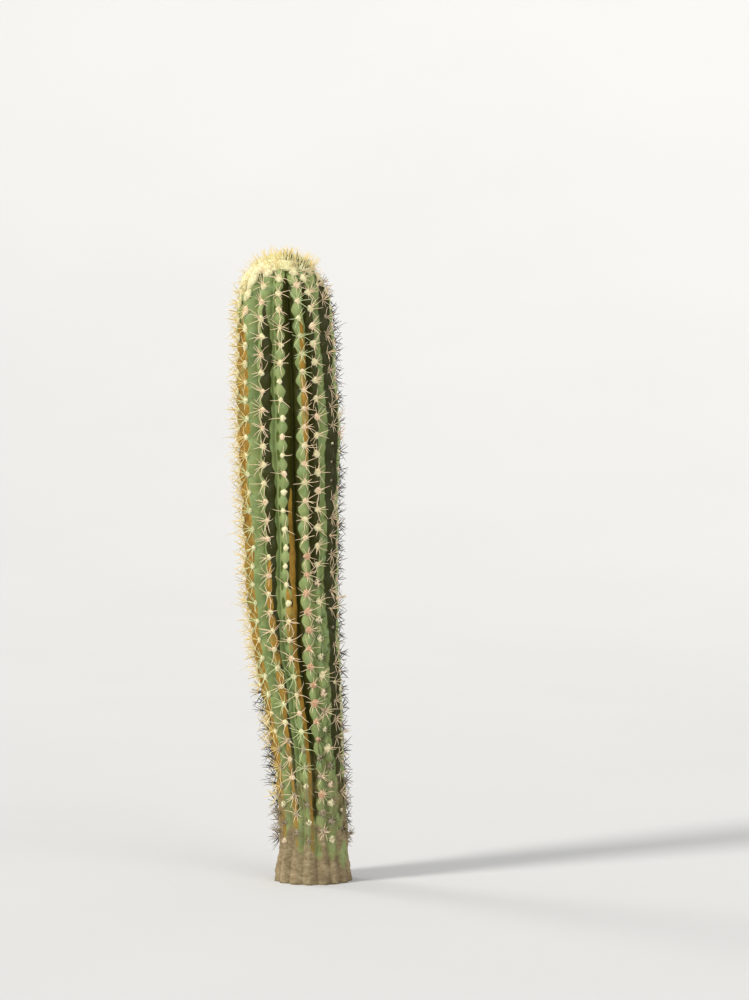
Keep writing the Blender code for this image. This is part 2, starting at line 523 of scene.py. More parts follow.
@dataclass(frozen=True)
class Areoles(Rows):
    """The plant's areoles."""

    rib: Array
    length: Array
    from_tip: Array
    seat: Array
    outward: Array
    side: Array
    along: Array

    @classmethod
    def grown(cls, growth: Growth, relief: Relief) -> Areoles:
        """Every areole from the growing tip down to the foot, those inside the wool too.

        Args:
            growth: The plant's rule of growth.
            relief: The live skin that they sit on.

        Returns:
            The areoles, rib by rib.
        """
        rib = np.repeat(np.arange(float(growth.ribs)), growth.most_areoles)
        count = np.tile(np.arange(growth.most_areoles), growth.ribs) + rib * growth.phase_step % 1
        length = growth.crest_length - growth.areole_distance(count)
        shown = (length > growth.lowest_areole) & (count > growth.first_count)
        rib, length = rib[shown], length[shown]
        out, up = growth.slope(length)
        angle = growth.angle(rib)
        outward = np.stack([np.cos(angle) * out, np.sin(angle) * out, up], axis=-1)
        side = np.stack([-np.sin(angle), np.cos(angle), np.zeros(len(rib))], axis=-1)
        seat, from_tip = relief.point(length, rib), growth.crest_length - length
        return cls(rib, length, from_tip, seat, outward, side, np.cross(outward, side))

    def __len__(self) -> int:
        """The number of areoles."""
        return len(self.rib)

    def step(self, side: Array, along: Array, out: Array) -> Array:
        """Steps from each areole, whose shares may run over more axes than its row.

        Args:
            side: Their shares across the rib.
            along: Their shares along the rib.
            out: Their shares out of the skin.

        Returns:
            The steps, each in the last axis.
        """
        shape = (len(self), *[1] * (out.ndim - 1), 3)
        across, down, away = (way.reshape(shape) for way in (self.side, self.along, self.outward))
        return across * side[..., None] + down * along[..., None] + away * out[..., None]


@dataclass(frozen=True)
class Strands(Rows):
    """Tapered strands that bend one way, such as spines, bristles and fibres."""

    root: Array
    reach: Array
    sag: Array
    thickness: Array
    tip_share: float
    taper_power: float = 1.3
    steep: float = 0.8

    @classmethod
    def laid(cls, ways: tuple[Array, Array, Array], thickness: float, tip_share: float) -> Strands:
        """Strands of one thickness at the root, by their roots, their reach and their sag."""
        root, reach, sag = (np.broadcast_to(way, ways[1].shape).reshape(-1, 3) for way in ways)
        return cls(root, reach, sag, np.full(len(root), thickness), tip_share)

    def build(self, name: str, rings: int, sides: int) -> Object:
        """Makes the strands as one mesh of closed, pointed tubes.

        Args:
            name: The object's name.
            rings: The number of rings along each strand.
            sides: The number of points in each ring.

        Returns:
            The new object.
        """
        share = np.linspace(0, 1, rings + 1)[:, None]
        root, reach, sag = (way[:, None] for way in (self.root, self.reach, self.sag))
        path = root + reach * share + sag * (share * share)
        size = np.linalg.norm(self.reach, axis=1)[:, None]
        upright = np.abs(self.reach[:, 2:]) >= self.steep * size
        helper = np.where(upright, [[1.0, 0.0, 0.0]], [[0.0, 0.0, 1.0]])
        across = unit(np.cross(self.reach, helper))
        other = unit(np.cross(self.reach, across))
        turn = turns(sides)[:, None]
        rim = across[:, None, None] * np.cos(turn) + other[:, None, None] * np.sin(turn)
        taper = 1 - (1 - self.tip_share) * share[:-1, 0] ** self.taper_power
        radius = self.thickness[:, None, None, None] / 2 * taper[None, :, None, None]
        return pointed_tubes(name, path[:, :-1, None] + rim * radius, path[:, -1])


@dataclass(frozen=True)
class Pattern:
    """A pattern over a surface, as a mask between two of its levels.

    Fields:
        scale: How fine it is.
        low: The level where the mask starts.
        high: The level where it is full.
        stretch: How close it lies along each axis.
    """

    scale: float
    low: float
    high: float
    stretch: tuple[float, float, float] = (1.0, 1.0, 1.0)


class Board:
    """A node tree, with short ways to add and join its nodes."""

    def __init__(self, tree: Tree) -> None:
        """Takes the tree to work on."""
        self.tree = tree

    def add(self, kind: str, inputs: dict[str | int, object], **settings: object) -> bpy.types.Node:
        """Adds a node.

        Args:
            kind: The node's type.
            inputs: A value, or a socket to join, for each input by name or number.
            **settings: The node's own settings.

        Returns:
            The new node.
        """
        node = self.tree.nodes.new(kind)
        for name, value in settings.items():
            setattr(node, name, value)
        for key, value in inputs.items():
            if isinstance(value, Socket):
                self.tree.links.new(value, node.inputs[key])
            else:
                node.inputs[key].default_value = value
        return node

    def mixed(self, share: object, first: object, second: object) -> Socket:
        """The colour between two others, by the share of the second."""
        inputs = dict(zip(MIX_INPUTS, (share, first, second)))
        return self.add("ShaderNodeMix", inputs, data_type="RGBA").outputs[MIX_OUTPUT]

    def maths(self, operation: str, first: object, second: object) -> Socket:
        """The result of a Math node's operation on two numbers or sockets, from 0 to 1."""
        inputs = {0: first, 1: second}
        return self.add("ShaderNodeMath", inputs, operation=operation, use_clamp=True).outputs[0]

    def times(self, first: object, second: object) -> Socket:
        """The product of two numbers or sockets, from 0 to 1."""
        return self.maths("MULTIPLY", first, second)

    def most(self, first: object, second: object) -> Socket:
        """The larger of two numbers or sockets, from 0 to 1."""
        return self.maths("MAXIMUM", first, second)

    def ramp(self, value: Socket, low: object, high: object, kind: str = "SMOOTHSTEP") -> Socket:
        """How far a value is on its way from one level to another, from 0 to 1."""
        inputs = {"Value": value, "From Min": low, "From Max": high}
        return self.add("ShaderNodeMapRange", inputs, interpolation_type=kind).outputs["Result"]

    def place(self) -> Socket:
        """The place of each point on its object."""
        return self.add("ShaderNodeTexCoord", {}).outputs["Object"]

    def attribute(self, name: str) -> Socket:
        """The value that a mesh holds at each point under a name."""
        return self.add("ShaderNodeAttribute", {}, attribute_name=name).outputs["Fac"]

    def mask(self, group: Tree, pattern: Pattern) -> Socket:
        """The mask of a pattern that one of the shared groups draws."""
        inputs = {"Scale": pattern.scale, "Low": pattern.low, "High": pattern.high}
        return self.add("ShaderNodeGroup", inputs, node_tree=group).outputs["Mask"]

    def bumped(self, height: Socket, strength: float, depth: float) -> Socket:
        """The normal over small bumps."""
        inputs = {"Height": height, "Strength": strength, "Distance": depth}
        return self.add("ShaderNodeBump", inputs).outputs["Normal"]


class MaterialBoard(Board):
    """The node tree of a new material on a Principled BSDF."""

    def __init__(self, name: str, constants: dict[str, float]) -> None:
        """Starts the material.

        Args:
            name: The material's name.
            constants: The shader's values that are the same all over.
        """
        self.material = bpy.data.materials.new(name)
        self.material.use_nodes = True
        super().__init__(self.material.node_tree)
        self.shader = self.tree.nodes["Principled BSDF"]
        for title, value in constants.items():
            self.shader.inputs[title].default_value = value

    def joined(self, **sockets: Socket) -> Material:
        """Feeds the shader.

        Args:
            **sockets: The socket that feeds each input, by its name in small letters.

        Returns:
            The material.
        """
        for name, socket in sockets.items():
            self.tree.links.new(socket, self.shader.inputs[name.replace("_", " ").title()])
        return self.material


@dataclass(frozen=True)
class Effects:
    """The surface effects that several finishes share, each as a shader node group.

    Fields:
        mottle: Soft uneven patches.
        specks: Small round dots, such as pores and grains.
        nap: The lie of short fibres, with painted shade in the spaces between tufts.
    """

    mottle: Tree
    specks: Tree
    nap: Tree

    @classmethod
    def built(cls) -> Effects:
        """Builds each group once.

        Returns:
            The groups.
        """
        mottled = {"Detail": 4.0, "Roughness": 0.6}
        mottle = cls.levels("Mottle", "ShaderNodeTexNoise", "Fac", mottled)
        specks = cls.levels("Specks", "ShaderNodeTexVoronoi", "Distance", {})
        return cls(mottle, specks, cls.fibres())

    @staticmethod
    def begun(name: str, inputs: tuple[str, ...], outputs: tuple[str, ...]) -> Board:
        """Starts a node group.

        Args:
            name: The group's name.
            inputs: The names of its inputs.
            outputs: The names of its outputs.

        Returns:
            The group's board.
        """
        tree = bpy.data.node_groups.new(name, "ShaderNodeTree")
        for way, titles in (("INPUT", inputs), ("OUTPUT", outputs)):
            for title in titles:
                tree.interface.new_socket(name=title, in_out=way, socket_type="NodeSocketFloat")
        return Board(tree)

    @classmethod
    def levels(cls, name: str, texture: str, reading: str, settled: dict[str, float]) -> Tree:
        """Builds a mask between two levels of a texture.

        Args:
            name: The group's name.
            texture: The texture node's type.
            reading: The texture's output that is read.
            settled: The texture's inputs that are the same for every pattern.

        Returns:
            The group.
        """
        board = cls.begun(name, ("Scale", "Low", "High"), ("Mask",))
        given = board.add("NodeGroupInput", {}).outputs
        drawn = {"Vector": board.place(), "Scale": given["Scale"], **settled}
        level = board.add(texture, drawn).outputs[reading]
        board.add("NodeGroupOutput", {"Mask": board.ramp(level, given["Low"], given["High"])})
        return board.tree

    @classmethod
    def fibres(cls) -> Tree:
        """Builds the lie of short fibres.

        Returns:
            The group, with a height for the bump and a mask of the painted shade in the spaces
            between tufts.
        """
        board = cls.begun("Nap", ("Scale", "Tufts"), ("Height", "Gaps"))
        given, place = board.add("NodeGroupInput", {}).outputs, board.place()
        drawn = {"Vector": place, "Scale": given["Scale"], "Detail": 3.0, "Distortion": 1.2}
        fibre = board.add("ShaderNodeTexNoise", drawn).outputs["Fac"]
        tufts = board.add("ShaderNodeTexVoronoi", {"Vector": place, "Scale": given["Tufts"]})
        gap_shade_start, gap_shade_end, fibre_height = 0.35, 0.75, 0.6
        gap_shade = board.ramp(tufts.outputs["Distance"], gap_shade_start, gap_shade_end, "LINEAR")
        board.add("NodeGroupOutput", {"Height": board.times(fibre, fibre_height), "Gaps": gap_shade})
        return board.tree


@dataclass(frozen=True)
class SkinFinish:
    """The stem's waxy skin: green on the crests, darker green mixed with painted shade in the
    furrows and over the flanks that face away from the light, ochre and cork where it ages.

    Its patterns have the names of what they draw. A share says how far a pattern or a mark shows,
    and a raggedness how far the fine breaks disturb a mark's edge.
    """

    sage: Colour = screen(146, 160, 100)
    leaf: Colour = screen(122, 138, 82)
    bloom: Colour = screen(132, 158, 112)
    # Painted shade in the dents beside the areoles.
    dent: Colour = screen(84, 98, 44)
    # Painted shade, mixed with the furrows' own darker green.
    furrow: Colour = screen(50, 52, 7)
    ochre: Colour = screen(172, 134, 52)
    umber: Colour = screen(112, 82, 30)
    drab: Colour = screen(128, 118, 76)
    scar: Colour = screen(186, 166, 118)
    cork: Colour = screen(158, 141, 110)
    cork_streak: Colour = screen(122, 105, 76)
    cork_stain: Colour = screen(98, 84, 60)
    young: Colour = screen(160, 174, 108)
    breaks: Pattern = Pattern(420.0, 0.30, 0.75)
    pores: Pattern = Pattern(1500.0, 0.30, 0.0)
    stains: Pattern = Pattern(95.0, 0.42, 0.70)
    green_left: Pattern = Pattern(48.0, 0.50, 0.68)
    leaf_patches: Pattern = Pattern(55.0, 0.38, 0.66)
    wax: Pattern = Pattern(140.0, 0.45, 0.72)
    scarred: Pattern = Pattern(36.0, 0.52, 0.66)
    flecks: Pattern = Pattern(330.0, 0.20, 0.0)
    cork_streaks: Pattern = Pattern(210.0, 0.42, 0.64, (1.0, 1.0, 2.2))
    ochre_streaks: Pattern = Pattern(300.0, 0.50, 0.66, (1.0, 1.0, 0.10))
    edge: Span = (0.38, 0.58)
    furrow_shade_raggedness: float = 0.06
    ochre_raggedness: float = 0.12
    cork_raggedness: float = 0.25
    dent_shade_raggedness: float = 0.04
    broken_umber: float = 0.5
    stained_umber: float = 0.7
    streaked_umber: float = 0.85
    green_left_share: float = 0.35
    least_drab: float = 0.35
    scar_share: float = 0.65
    cork_share: float = 0.94
    cork_stain_share: float = 0.6
    wax_share: float = 0.6
    pore_share: float = 0.35
    ochre_dryness: float = 0.6
    roughness: Span = (0.50, 0.82)
    specular: float = 0.22
    grain: float = 0.6
    bump: Span = (0.45, 0.0003)

    def material(self, effects: Effects) -> Material:
        """Builds the material.

        Args:
            effects: The shared effects.

        Returns:
            The material.
        """
        board = MaterialBoard("stem skin", {"Specular IOR Level": self.specular})
        breaks = board.mask(effects.mottle, self.breaks)
        pores = board.mask(effects.specks, self.pores)
        stains = board.mask(effects.mottle, self.stains)
        furrow = self.edged(board, "furrow", breaks, self.furrow_shade_raggedness)
        ochre = self.edged(board, "ochre", breaks, self.ochre_raggedness)
        cork = self.edged(board, "cork", breaks, self.cork_raggedness)
        # This mark is the furrows' darker green and the painted shade of flanks that face away from
        # the light.
        skin = board.mixed(furrow, self.living(board, effects, pores), self.furrow)
        browned = board.most(
            board.times(breaks, self.broken_umber), board.times(stains, self.stained_umber)
        )
        streaks = self.streaks(board, self.ochre_streaks)
        browned = board.most(browned, board.times(streaks, self.streaked_umber))
        aged = board.mixed(browned, self.ochre, self.umber)
        green = board.times(board.mask(effects.mottle, self.green_left), self.green_left_share)
        skin = board.mixed(board.times(ochre, board.maths("SUBTRACT", 1.0, green)), skin, aged)
        weathered = board.maths("ADD", self.least_drab, stains)
        skin = board.mixed(board.times(board.attribute("drab"), weathered), skin, self.drab)
        scars = board.times(
            board.mask(effects.mottle, self.scarred), board.mask(effects.specks, self.flecks)
        )
        skin = board.mixed(board.times(scars, self.scar_share), skin, self.scar)
        skin = board.mixed(board.times(cork, self.cork_share), skin, self.bark(board, stains))
        dry = board.most(cork, board.times(ochre, self.ochre_dryness))
        smooth, rough = self.roughness
        dull = board.add("ShaderNodeMapRange", {"Value": dry, "To Min": smooth, "To Max": rough})
        normal = board.bumped(board.times(breaks, self.grain), *self.bump)
        return board.joined(base_color=skin, roughness=dull.outputs["Result"], normal=normal)

    def living(self, board: Board, effects: Effects, pores: Socket) -> Socket:
        """The green skin's colour.

        Args:
            board: The material's board.
            effects: The shared effects.
            pores: The mask of the skin's pores.

        Returns:
            The colour's socket.
        """
        green = board.mixed(board.mask(effects.mottle, self.leaf_patches), self.sage, self.leaf)
        wax = board.times(board.mask(effects.mottle, self.wax), self.wax_share)
        green = board.mixed(wax, green, self.bloom)
        green = board.mixed(board.times(pores, self.pore_share), green, self.bloom)
        green = board.mixed(board.attribute("young"), green, self.young)
        # Painted shade in the dents beside the areoles.
        return board.mixed(self.edged(board, "dent", pores, self.dent_shade_raggedness), green, self.dent)

    def bark(self, board: Board, stains: Socket) -> Socket:
        """The corky foot's colour, in fine level streaks and darker stains."""
        streaked = board.mixed(self.streaks(board, self.cork_streaks), self.cork, self.cork_streak)
        return board.mixed(board.times(stains, self.cork_stain_share), streaked, self.cork_stain)

    @staticmethod
    def streaks(board: Board, pattern: Pattern) -> Socket:
        """A mask of streaks that run one way.

        Args:
            board: The material's board.
            pattern: Their pattern.

        Returns:
            The mask's socket.
        """
        place = {"Vector": board.place(), "Scale": pattern.stretch}
        drawn = board.add("ShaderNodeMapping", place).outputs["Vector"]
        inputs = {"Vector": drawn, "Scale": pattern.scale, "Detail": 6.0, "Roughness": 0.7}
        level = board.add("ShaderNodeTexNoise", inputs).outputs["Fac"]
        return board.ramp(level, pattern.low, pattern.high, "LINEAR")

    def edged(self, board: Board, mark: str, breaks: Socket, raggedness: float) -> Socket:
        """The soft mask that the mesh holds for a mark, with a clear edge that a pattern breaks."""
        held = board.times(board.attribute(mark), 1 - raggedness)
        return board.ramp(board.maths("ADD", held, board.times(breaks, raggedness)), *self.edge)


@dataclass(frozen=True)
class FeltFinish:
    """Matted plant wool of one base colour, darker in uneven patches and, as painted shade, in the
    spaces between its tufts.
    """

    name: str
    colour: Colour
    shade_and_patch_colour: Colour
    shade_and_patch_share: float = 0.5
    roughness: float = 0.9
    specular: float = 0.15
    sheen: float = 0.25
    fibre_scale: float = 1100.0
    tuft_scale: float = 700.0
    patches: Pattern = Pattern(260.0, 0.40, 0.70)
    bump: Span = (0.8, 0.0006)

    def material(self, effects: Effects) -> Material:
        """Builds the material.

        Args:
            effects: The shared effects.

        Returns:
            The material.
        """
        shine = {"Specular IOR Level": self.specular, "Sheen Weight": self.sheen}
        board = MaterialBoard(self.name, {"Roughness": self.roughness, **shine})
        inputs = {"Scale": self.fibre_scale, "Tufts": self.tuft_scale}
        nap = board.add("ShaderNodeGroup", inputs, node_tree=effects.nap).outputs
        # Painted shade in the spaces between tufts, with uneven darker patches.
        gap_shade_and_patches = board.most(nap["Gaps"], board.mask(effects.mottle, self.patches))
        colour = board.mixed(board.times(gap_shade_and_patches, self.shade_and_patch_share), self.colour, self.shade_and_patch_colour)
        return board.joined(base_color=colour, normal=board.bumped(nap["Height"], *self.bump))


@dataclass(frozen=True)
class SpineFinish:
    """Dry horny spines of one base colour."""

    name: str
    colour: Colour
    dark: Colour
    roughness: float = 0.5
    specular: float = 0.4
    patches: Pattern = Pattern(330.0, 0.35, 0.75)
    patch_share: float = 0.55
    grains: Pattern = Pattern(2600.0, 0.40, 0.0)
    bump: Span = (0.2, 0.0001)

    def material(self, effects: Effects) -> Material:
        """Builds the material.

        Args:
            effects: The shared effects.

        Returns:
            The material.
        """
        shine = {"Roughness": self.roughness, "Specular IOR Level": self.specular}
        board = MaterialBoard(self.name, shine)
        patches = board.times(board.mask(effects.mottle, self.patches), self.patch_share)
        normal = board.bumped(board.mask(effects.specks, self.grains), *self.bump)
        colour = board.mixed(patches, self.colour, self.dark)
        return board.joined(base_color=colour, normal=normal)


class FeltTone(Enum):
    """The colours of the areoles' felt: it greys with age, and grey on the shaded rib is painted
    shade.
    """

    CREAM = FeltFinish("cream felt", screen(240, 234, 192), screen(208, 198, 140), 0.4)
    ROSE = FeltFinish("rosy felt", screen(214, 178, 144), screen(174, 128, 94), 0.6)
    BLUSH = FeltFinish("blush felt", screen(244, 226, 192), screen(218, 180, 140), 0.45)
    GREY = FeltFinish("grey felt", screen(182, 170, 142), screen(120, 104, 78), 0.7)


class SpineTone(Enum):
    """The spines' colours: straw on the lit side and brown on the shaded side are painted light and
    shade, while brown low down, grey and fresh green come with age.
    """

    STRAW = SpineFinish("straw spines", screen(246, 226, 160), screen(226, 192, 116))
    ROSE = SpineFinish("rosy cream spines", screen(252, 228, 192), screen(234, 196, 156))
    BROWN = SpineFinish("brown spines", screen(62, 54, 20), screen(34, 32, 12))
    GREY = SpineFinish("weathered spines", screen(160, 144, 116), screen(104, 90, 66), 0.7)
    FRESH = SpineFinish("fresh pale green spines", screen(222, 232, 178), screen(188, 208, 144))


def number(tone: Enum) -> int:
    """A tone's number among its kind."""
    return list(type(tone)).index(tone)


def place(piece: Object, material: Material, slot: str, nodes: list[str]) -> None:
    """Dresses a piece, fixes it to the plant's body and has it stand for its nodes.

    Args:
        piece: The piece.
        material: Its material.
        slot: The record's material slot, which it names in the log.
        nodes: The nodes of the solids that it stands for.
    """
    piece.data.materials.append(material)
    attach(piece, BODY)
    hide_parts(*nodes)
    piece.data.calc_loop_triangles()
    log.info("%s: %d triangles on %s", piece.name, len(piece.data.loop_triangles), slot)


@dataclass(frozen=True)
class AgedFlank:
    """A stretch along a rib where the skin has turned ochre.

    Fields:
        rib: The rib's number.
        across: The middle of the stretch, in ribs from the crest.
        spread: Its half width, in ribs.
        low: The height where it starts. From 0 it runs on to the ground.
        high: The height where it ends.
        beaded: How far it is pinched at the areoles, from 0 to 1.
    """

    rib: int
    across: float
    spread: float
    low: float
    high: float
    beaded: float


@dataclass(frozen=True)
class FurrowGreenAndShade:
    """The darker green and painted shade between two crests, whose edges swing in at the areoles;
    where it covers a whole flank or rib that faces away from the light, it is painted shade.

    Fields:
        start: Where it starts, in ribs after the first crest.
        start_swing: How far its first edge swings.
        end: Where it ends, in ribs before the second crest.
        end_swing: How far its last edge swings.
        low: The height below which it narrows.
        low_width: Its width there, as a share of its width above.
        begins: How far from the growing tip it begins.
        opens: How far on it has its full width.
    """

    start: float = 0.28
    start_swing: float = 0.10
    end: float = 0.32
    end_swing: float = 0.10
    low: float = 0.0
    low_width: float = 1.0
    begins: float = 0.022
    opens: float = 0.050


@dataclass
class StemSkin:
    """The stem's skin, from its flat cut to the growing tip."""

    growth: Growth
    relief: Relief
    finish: SkinFinish = SkinFinish()
    points_to_rib: int = 20
    rings: int = 318
    aged: tuple[AgedFlank, ...] = (
        AgedFlank(12, 0.28, 0.44, 0.000, 0.452, 0.10),
        AgedFlank(13, -0.28, 0.47, 0.310, 0.460, 0.50),
        AgedFlank(13, -0.27, 0.39, 0.000, 0.345, 0.50),
        AgedFlank(14, 0.04, 0.22, 0.115, 0.264, 0.70),
        AgedFlank(14, -0.16, 0.30, 0.000, 0.170, 0.50),
        AgedFlank(0, 0.32, 0.15, 0.175, 0.318, 0.20),
        AgedFlank(0, 0.24, 0.13, 0.000, 0.215, 0.20),
        AgedFlank(0, 0.02, 0.24, 0.188, 0.238, 0.50),
        AgedFlank(1, 0.16, 0.32, 0.335, 0.458, 0.25),
        AgedFlank(5, -0.05, 0.25, 0.020, 0.270, 0.75),
        AgedFlank(7, 0.30, 0.22, 0.100, 0.380, 0.20),
        AgedFlank(9, -0.02, 0.24, 0.000, 0.190, 0.75),
        AgedFlank(11, 0.10, 0.28, 0.060, 0.400, 0.70),
    )
    aged_taper: float = 0.045
    aged_bluntness: float = 0.5
    aged_pinch: float = 3.0
    aged_edge: float = 0.5
    least_spread: float = 0.01
    # Painted shade with the furrows' darker green, one entry for the rib before each.
    furrows: dict[int, FurrowGreenAndShade] = field(default_factory=lambda: {
        12: FurrowGreenAndShade(0.44, 0.05, 0.46, 0.04),
        13: FurrowGreenAndShade(0.49, 0.02, 0.49, 0.02),
        14: FurrowGreenAndShade(-0.01, -0.10, 0.62, 0.08, 0.185, 0.45, 0.046, 0.040),
        0: FurrowGreenAndShade(0.15, 0.18, 0.26, 0.16, begins=0.020, opens=0.030),
        1: FurrowGreenAndShade(0.46, 0.04, -0.12, 0.06, 0.232, 0.0, 0.026, 0.030),
        2: FurrowGreenAndShade(0.74, 0.06, -0.06, 0.04, begins=0.026, opens=0.040),
        3: FurrowGreenAndShade(-0.06, 0.04, 0.16, 0.08, begins=0.020, opens=0.020),
        4: FurrowGreenAndShade(0.14, 0.10, 0.26, 0.10),
    })
    swing_middle: float = 0.55
    furrow_shade_wander: float = 0.03
    furrow_shade_edge: float = 0.30
    furrow_shade_narrows: float = 0.035
    furrow_shade_fade: float = 0.1
    furrow_shade_foot: Span = (0.030, 0.075)
    # Where the painted shade in the dents beside the areoles falls, and how strong it is.
    dent_shade_ribs: dict[int, float] = field(default_factory=lambda: {14: 0.8, 0: 1.15})
    dent_shade_elsewhere: float = 0.62
    dent_shade_across: float = -0.24
    dent_shade_width: float = 0.115
    dent_shade_length: float = 0.0052
    cork_height: float = 0.036
    cork_fade: float = 0.055
    cork_wander: float = 0.016
    drab_height: float = 0.066
    drab_fade: float = 0.090
    drab_wander: float = 0.02
    young_reach: float = 0.045
    young_share: float = 0.5
    cap_centre: Span = (0.03, 0.97)
    cap_size: float = 0.027
    wall_share: float = 0.93

    def build(self) -> Object:
        """Builds the closed skin with its values for the finish and its bake map.

        Returns:
            The skin.
        """
        rib = np.arange(self.growth.ribs * self.points_to_rib) / self.points_to_rib
        length = np.linspace(0, self.growth.crest_length, self.rings, endpoint=False)
        length, rib = np.meshgrid(length, rib, indexing="ij")
        wall = self.relief.point(length, rib).reshape(-1, 3)
        ends = self.growth.centre(np.array([0.0, self.growth.height]))
        sides, foot_at = rib.shape[1], len(wall)
        side = np.arange(sides)
        under = fan(side, foot_at)[:, [1, 0, 2]]
        over = fan(foot_at - sides + side, foot_at + 1)
        points = np.concatenate([wall, ends])
        skin = mesh_object("stem_skin", points, [ring_quads(self.rings, sides), under, over])
        self.store_values(skin.data, length, rib)
        self.map_bake(skin.data, sides)
        return skin

    def store_values(self, mesh: bpy.types.Mesh, length: Array, rib: Array) -> None:
        """Stores what the finish reads at each point.

        Args:
            mesh: The skin's mesh.
            length: The length of each of the wall's points.
            rib: The place round the stem of each.
        """
        sway = self.relief.slow.at(length, rib, self.growth.ribs)
        from_tip = self.growth.crest_length - length
        cork = self.cork_height + self.cork_wander * sway - length
        drab = self.drab_height + self.drab_wander * sway - length
        values = {
            "furrow": self.furrow_shade_at(length, rib),
            "dent": self.dent_shade_at(length, rib),
            "ochre": self.ochre_at(length, rib),
            "cork": soft_edge(cork, self.cork_fade),
            "drab": soft_edge(drab, self.drab_fade),
            "young": smooth_step(1 - from_tip / self.young_reach) * self.young_share,
        }
        for name, value in values.items():
            layer = mesh.attributes.new(name, "FLOAT", "POINT")
            flat = value.ravel()
            layer.data.foreach_set("value", np.append(flat, flat[[0, -1]]).astype(np.float32))

    def furrow_shade_at(self, length: Array, rib: Array) -> Array:
        """How far the furrows' darker green and the painted shade over flanks that face away from
        the light cover the skin.

        Args:
            length: Lengths up a crest.
            rib: Places round the stem.

        Returns:
            A share for each place, from 0 to 1.
        """
        ribs, between = self.growth.ribs, self.growth.between
        table = np.array([astuple(self.furrows.get(i, FurrowGreenAndShade())) for i in range(ribs)])
        height, from_tip = self.growth.rise(length), self.growth.crest_length - length
        loose = self.furrow_shade_wander * self.relief.slow.at(length, rib, ribs)
        dark = np.zeros(length.shape)
        for spill in (-1, 0, 1):
            before = np.floor(rib) + spill
            columns = np.moveaxis(table[before.astype(int) % ribs], -1, 0)
            start, start_swing, end, end_swing, low, low_width, begins, opens = columns
            above = smooth_step((height - low) / self.furrow_shade_narrows)
            opened = smooth_step((from_tip - begins) / opens)
            opened = opened * (low_width + (1 - low_width) * above)
            swing_in = between(length, before) - self.swing_middle
            swing_out = between(length, before + 1) - self.swing_middle
            middle = (1 + start - end) / 2
            first = middle + (start + start_swing * swing_in + loose - middle) * opened
            last = middle + (1 - end - end_swing * swing_out + loose - middle) * opened
            enter = soft_edge(rib - before - first, self.furrow_shade_edge)
            leave = soft_edge(last - (rib - before), self.furrow_shade_edge)
            shown = smooth_step(opened / self.furrow_shade_fade)
            dark = np.maximum(dark, np.minimum(enter, leave) * shown)
        return dark * rising(height, self.furrow_shade_foot)

    def dent_shade_at(self, length: Array, rib: Array) -> Array:
        """How much painted shade shows, in dark green, in the dents beside the areoles.

        Args:
            length: Lengths up a crest.
            rib: Places round the stem.

        Returns:
            A share for each place, from 0 to 1.
        """
        nearest, ribs = np.round(rib), self.growth.ribs
        strength = np.array([self.dent_shade_ribs.get(i, self.dent_shade_elsewhere) for i in range(ribs)])
        count = self.growth.areole_count(length, rib)
        away = (count - np.round(count)) * self.growth.areole_spacing / self.dent_shade_length
        aside = (rib - nearest - self.dent_shade_across) / self.dent_shade_width
        return strength[nearest.astype(int) % ribs] * np.exp(-away * away - aside * aside)

    def ochre_at(self, length: Array, rib: Array) -> Array:
        """How far the skin has turned ochre.

        Args:
            length: Lengths up a crest.
            rib: Places round the stem.

        Returns:
            A share for each place, from 0 to 1.
        """
        height, nearest = self.growth.rise(length), np.round(rib)
        at_areole = (1 - self.growth.between(length, rib)) ** self.aged_pinch
        ochre = np.zeros(length.shape)
        for flank in self.aged:
            above = np.where(flank.low > 0, height - flank.low, self.aged_taper)
            ends = np.clip(np.minimum(above, flank.high - height) / self.aged_taper, 0, 1)
            width = flank.spread * ends**self.aged_bluntness * (1 - flank.beaded * at_areole)
            reach = np.abs(rib - nearest - flank.across) / np.maximum(width, self.least_spread)
            held = (nearest % self.growth.ribs == flank.rib) & (ends > 0)
            ochre = np.maximum(ochre, np.where(held, soft_edge(1 - reach, self.aged_edge), 0))
        return ochre

    def map_bake(self, mesh: bpy.types.Mesh, sides: int) -> None:
        """Lays the wall out flat, and the flat cut beside it, so that the finish bakes cleanly.

        Args:
            mesh: The skin's mesh.
            sides: The number of points round the stem.
        """
        corners = np.empty(len(mesh.loops), np.int64)
        mesh.loops.foreach_get("vertex_index", corners)
        starts = np.empty(len(mesh.polygons), np.int64)
        mesh.polygons.foreach_get("loop_start", starts)
        face = np.repeat(np.arange(len(starts)), np.diff(np.append(starts, len(corners))))
        foot_at = self.rings * sides
        across = (corners % sides) / sides
        up = (corners // sides) / self.rings * self.wall_share
        least = np.minimum.reduceat(np.where(corners < foot_at, across, 1), starts)[face]
        across = np.where((least == 0) & (across > 0.5), across - 1, across)
        across = across + (np.minimum.reduceat(across, starts)[face] < 0)
        widest = np.maximum.reduceat(np.where(corners < foot_at, across, 0), starts)[face]
        on_tip = corners == foot_at + 1
        across = np.where(on_tip, widest - 0.5 / sides, across)
        up = np.where(on_tip, self.wall_share, up)
        flat_cut = np.maximum.reduceat((corners == foot_at).astype(int), starts)[face] == 1
        turn = math.tau * across
        rim = np.where(corners == foot_at, 0, self.cap_size)
        across = np.where(flat_cut, self.cap_centre[0] + rim * np.cos(turn), across)
        up = np.where(flat_cut, self.cap_centre[1] + rim * np.sin(turn), up)
        layer = mesh.uv_layers.new(name=BAKE_MAP)
        layer.uv.foreach_set("vector", np.stack([across, up], axis=-1).astype(np.float32).ravel())

    def make(self, effects: Effects) -> None:
        """Builds and dresses the skin in place of the stem's solid."""
        place(self.build(), self.finish.material(effects), "skin", [STEM_NODE])


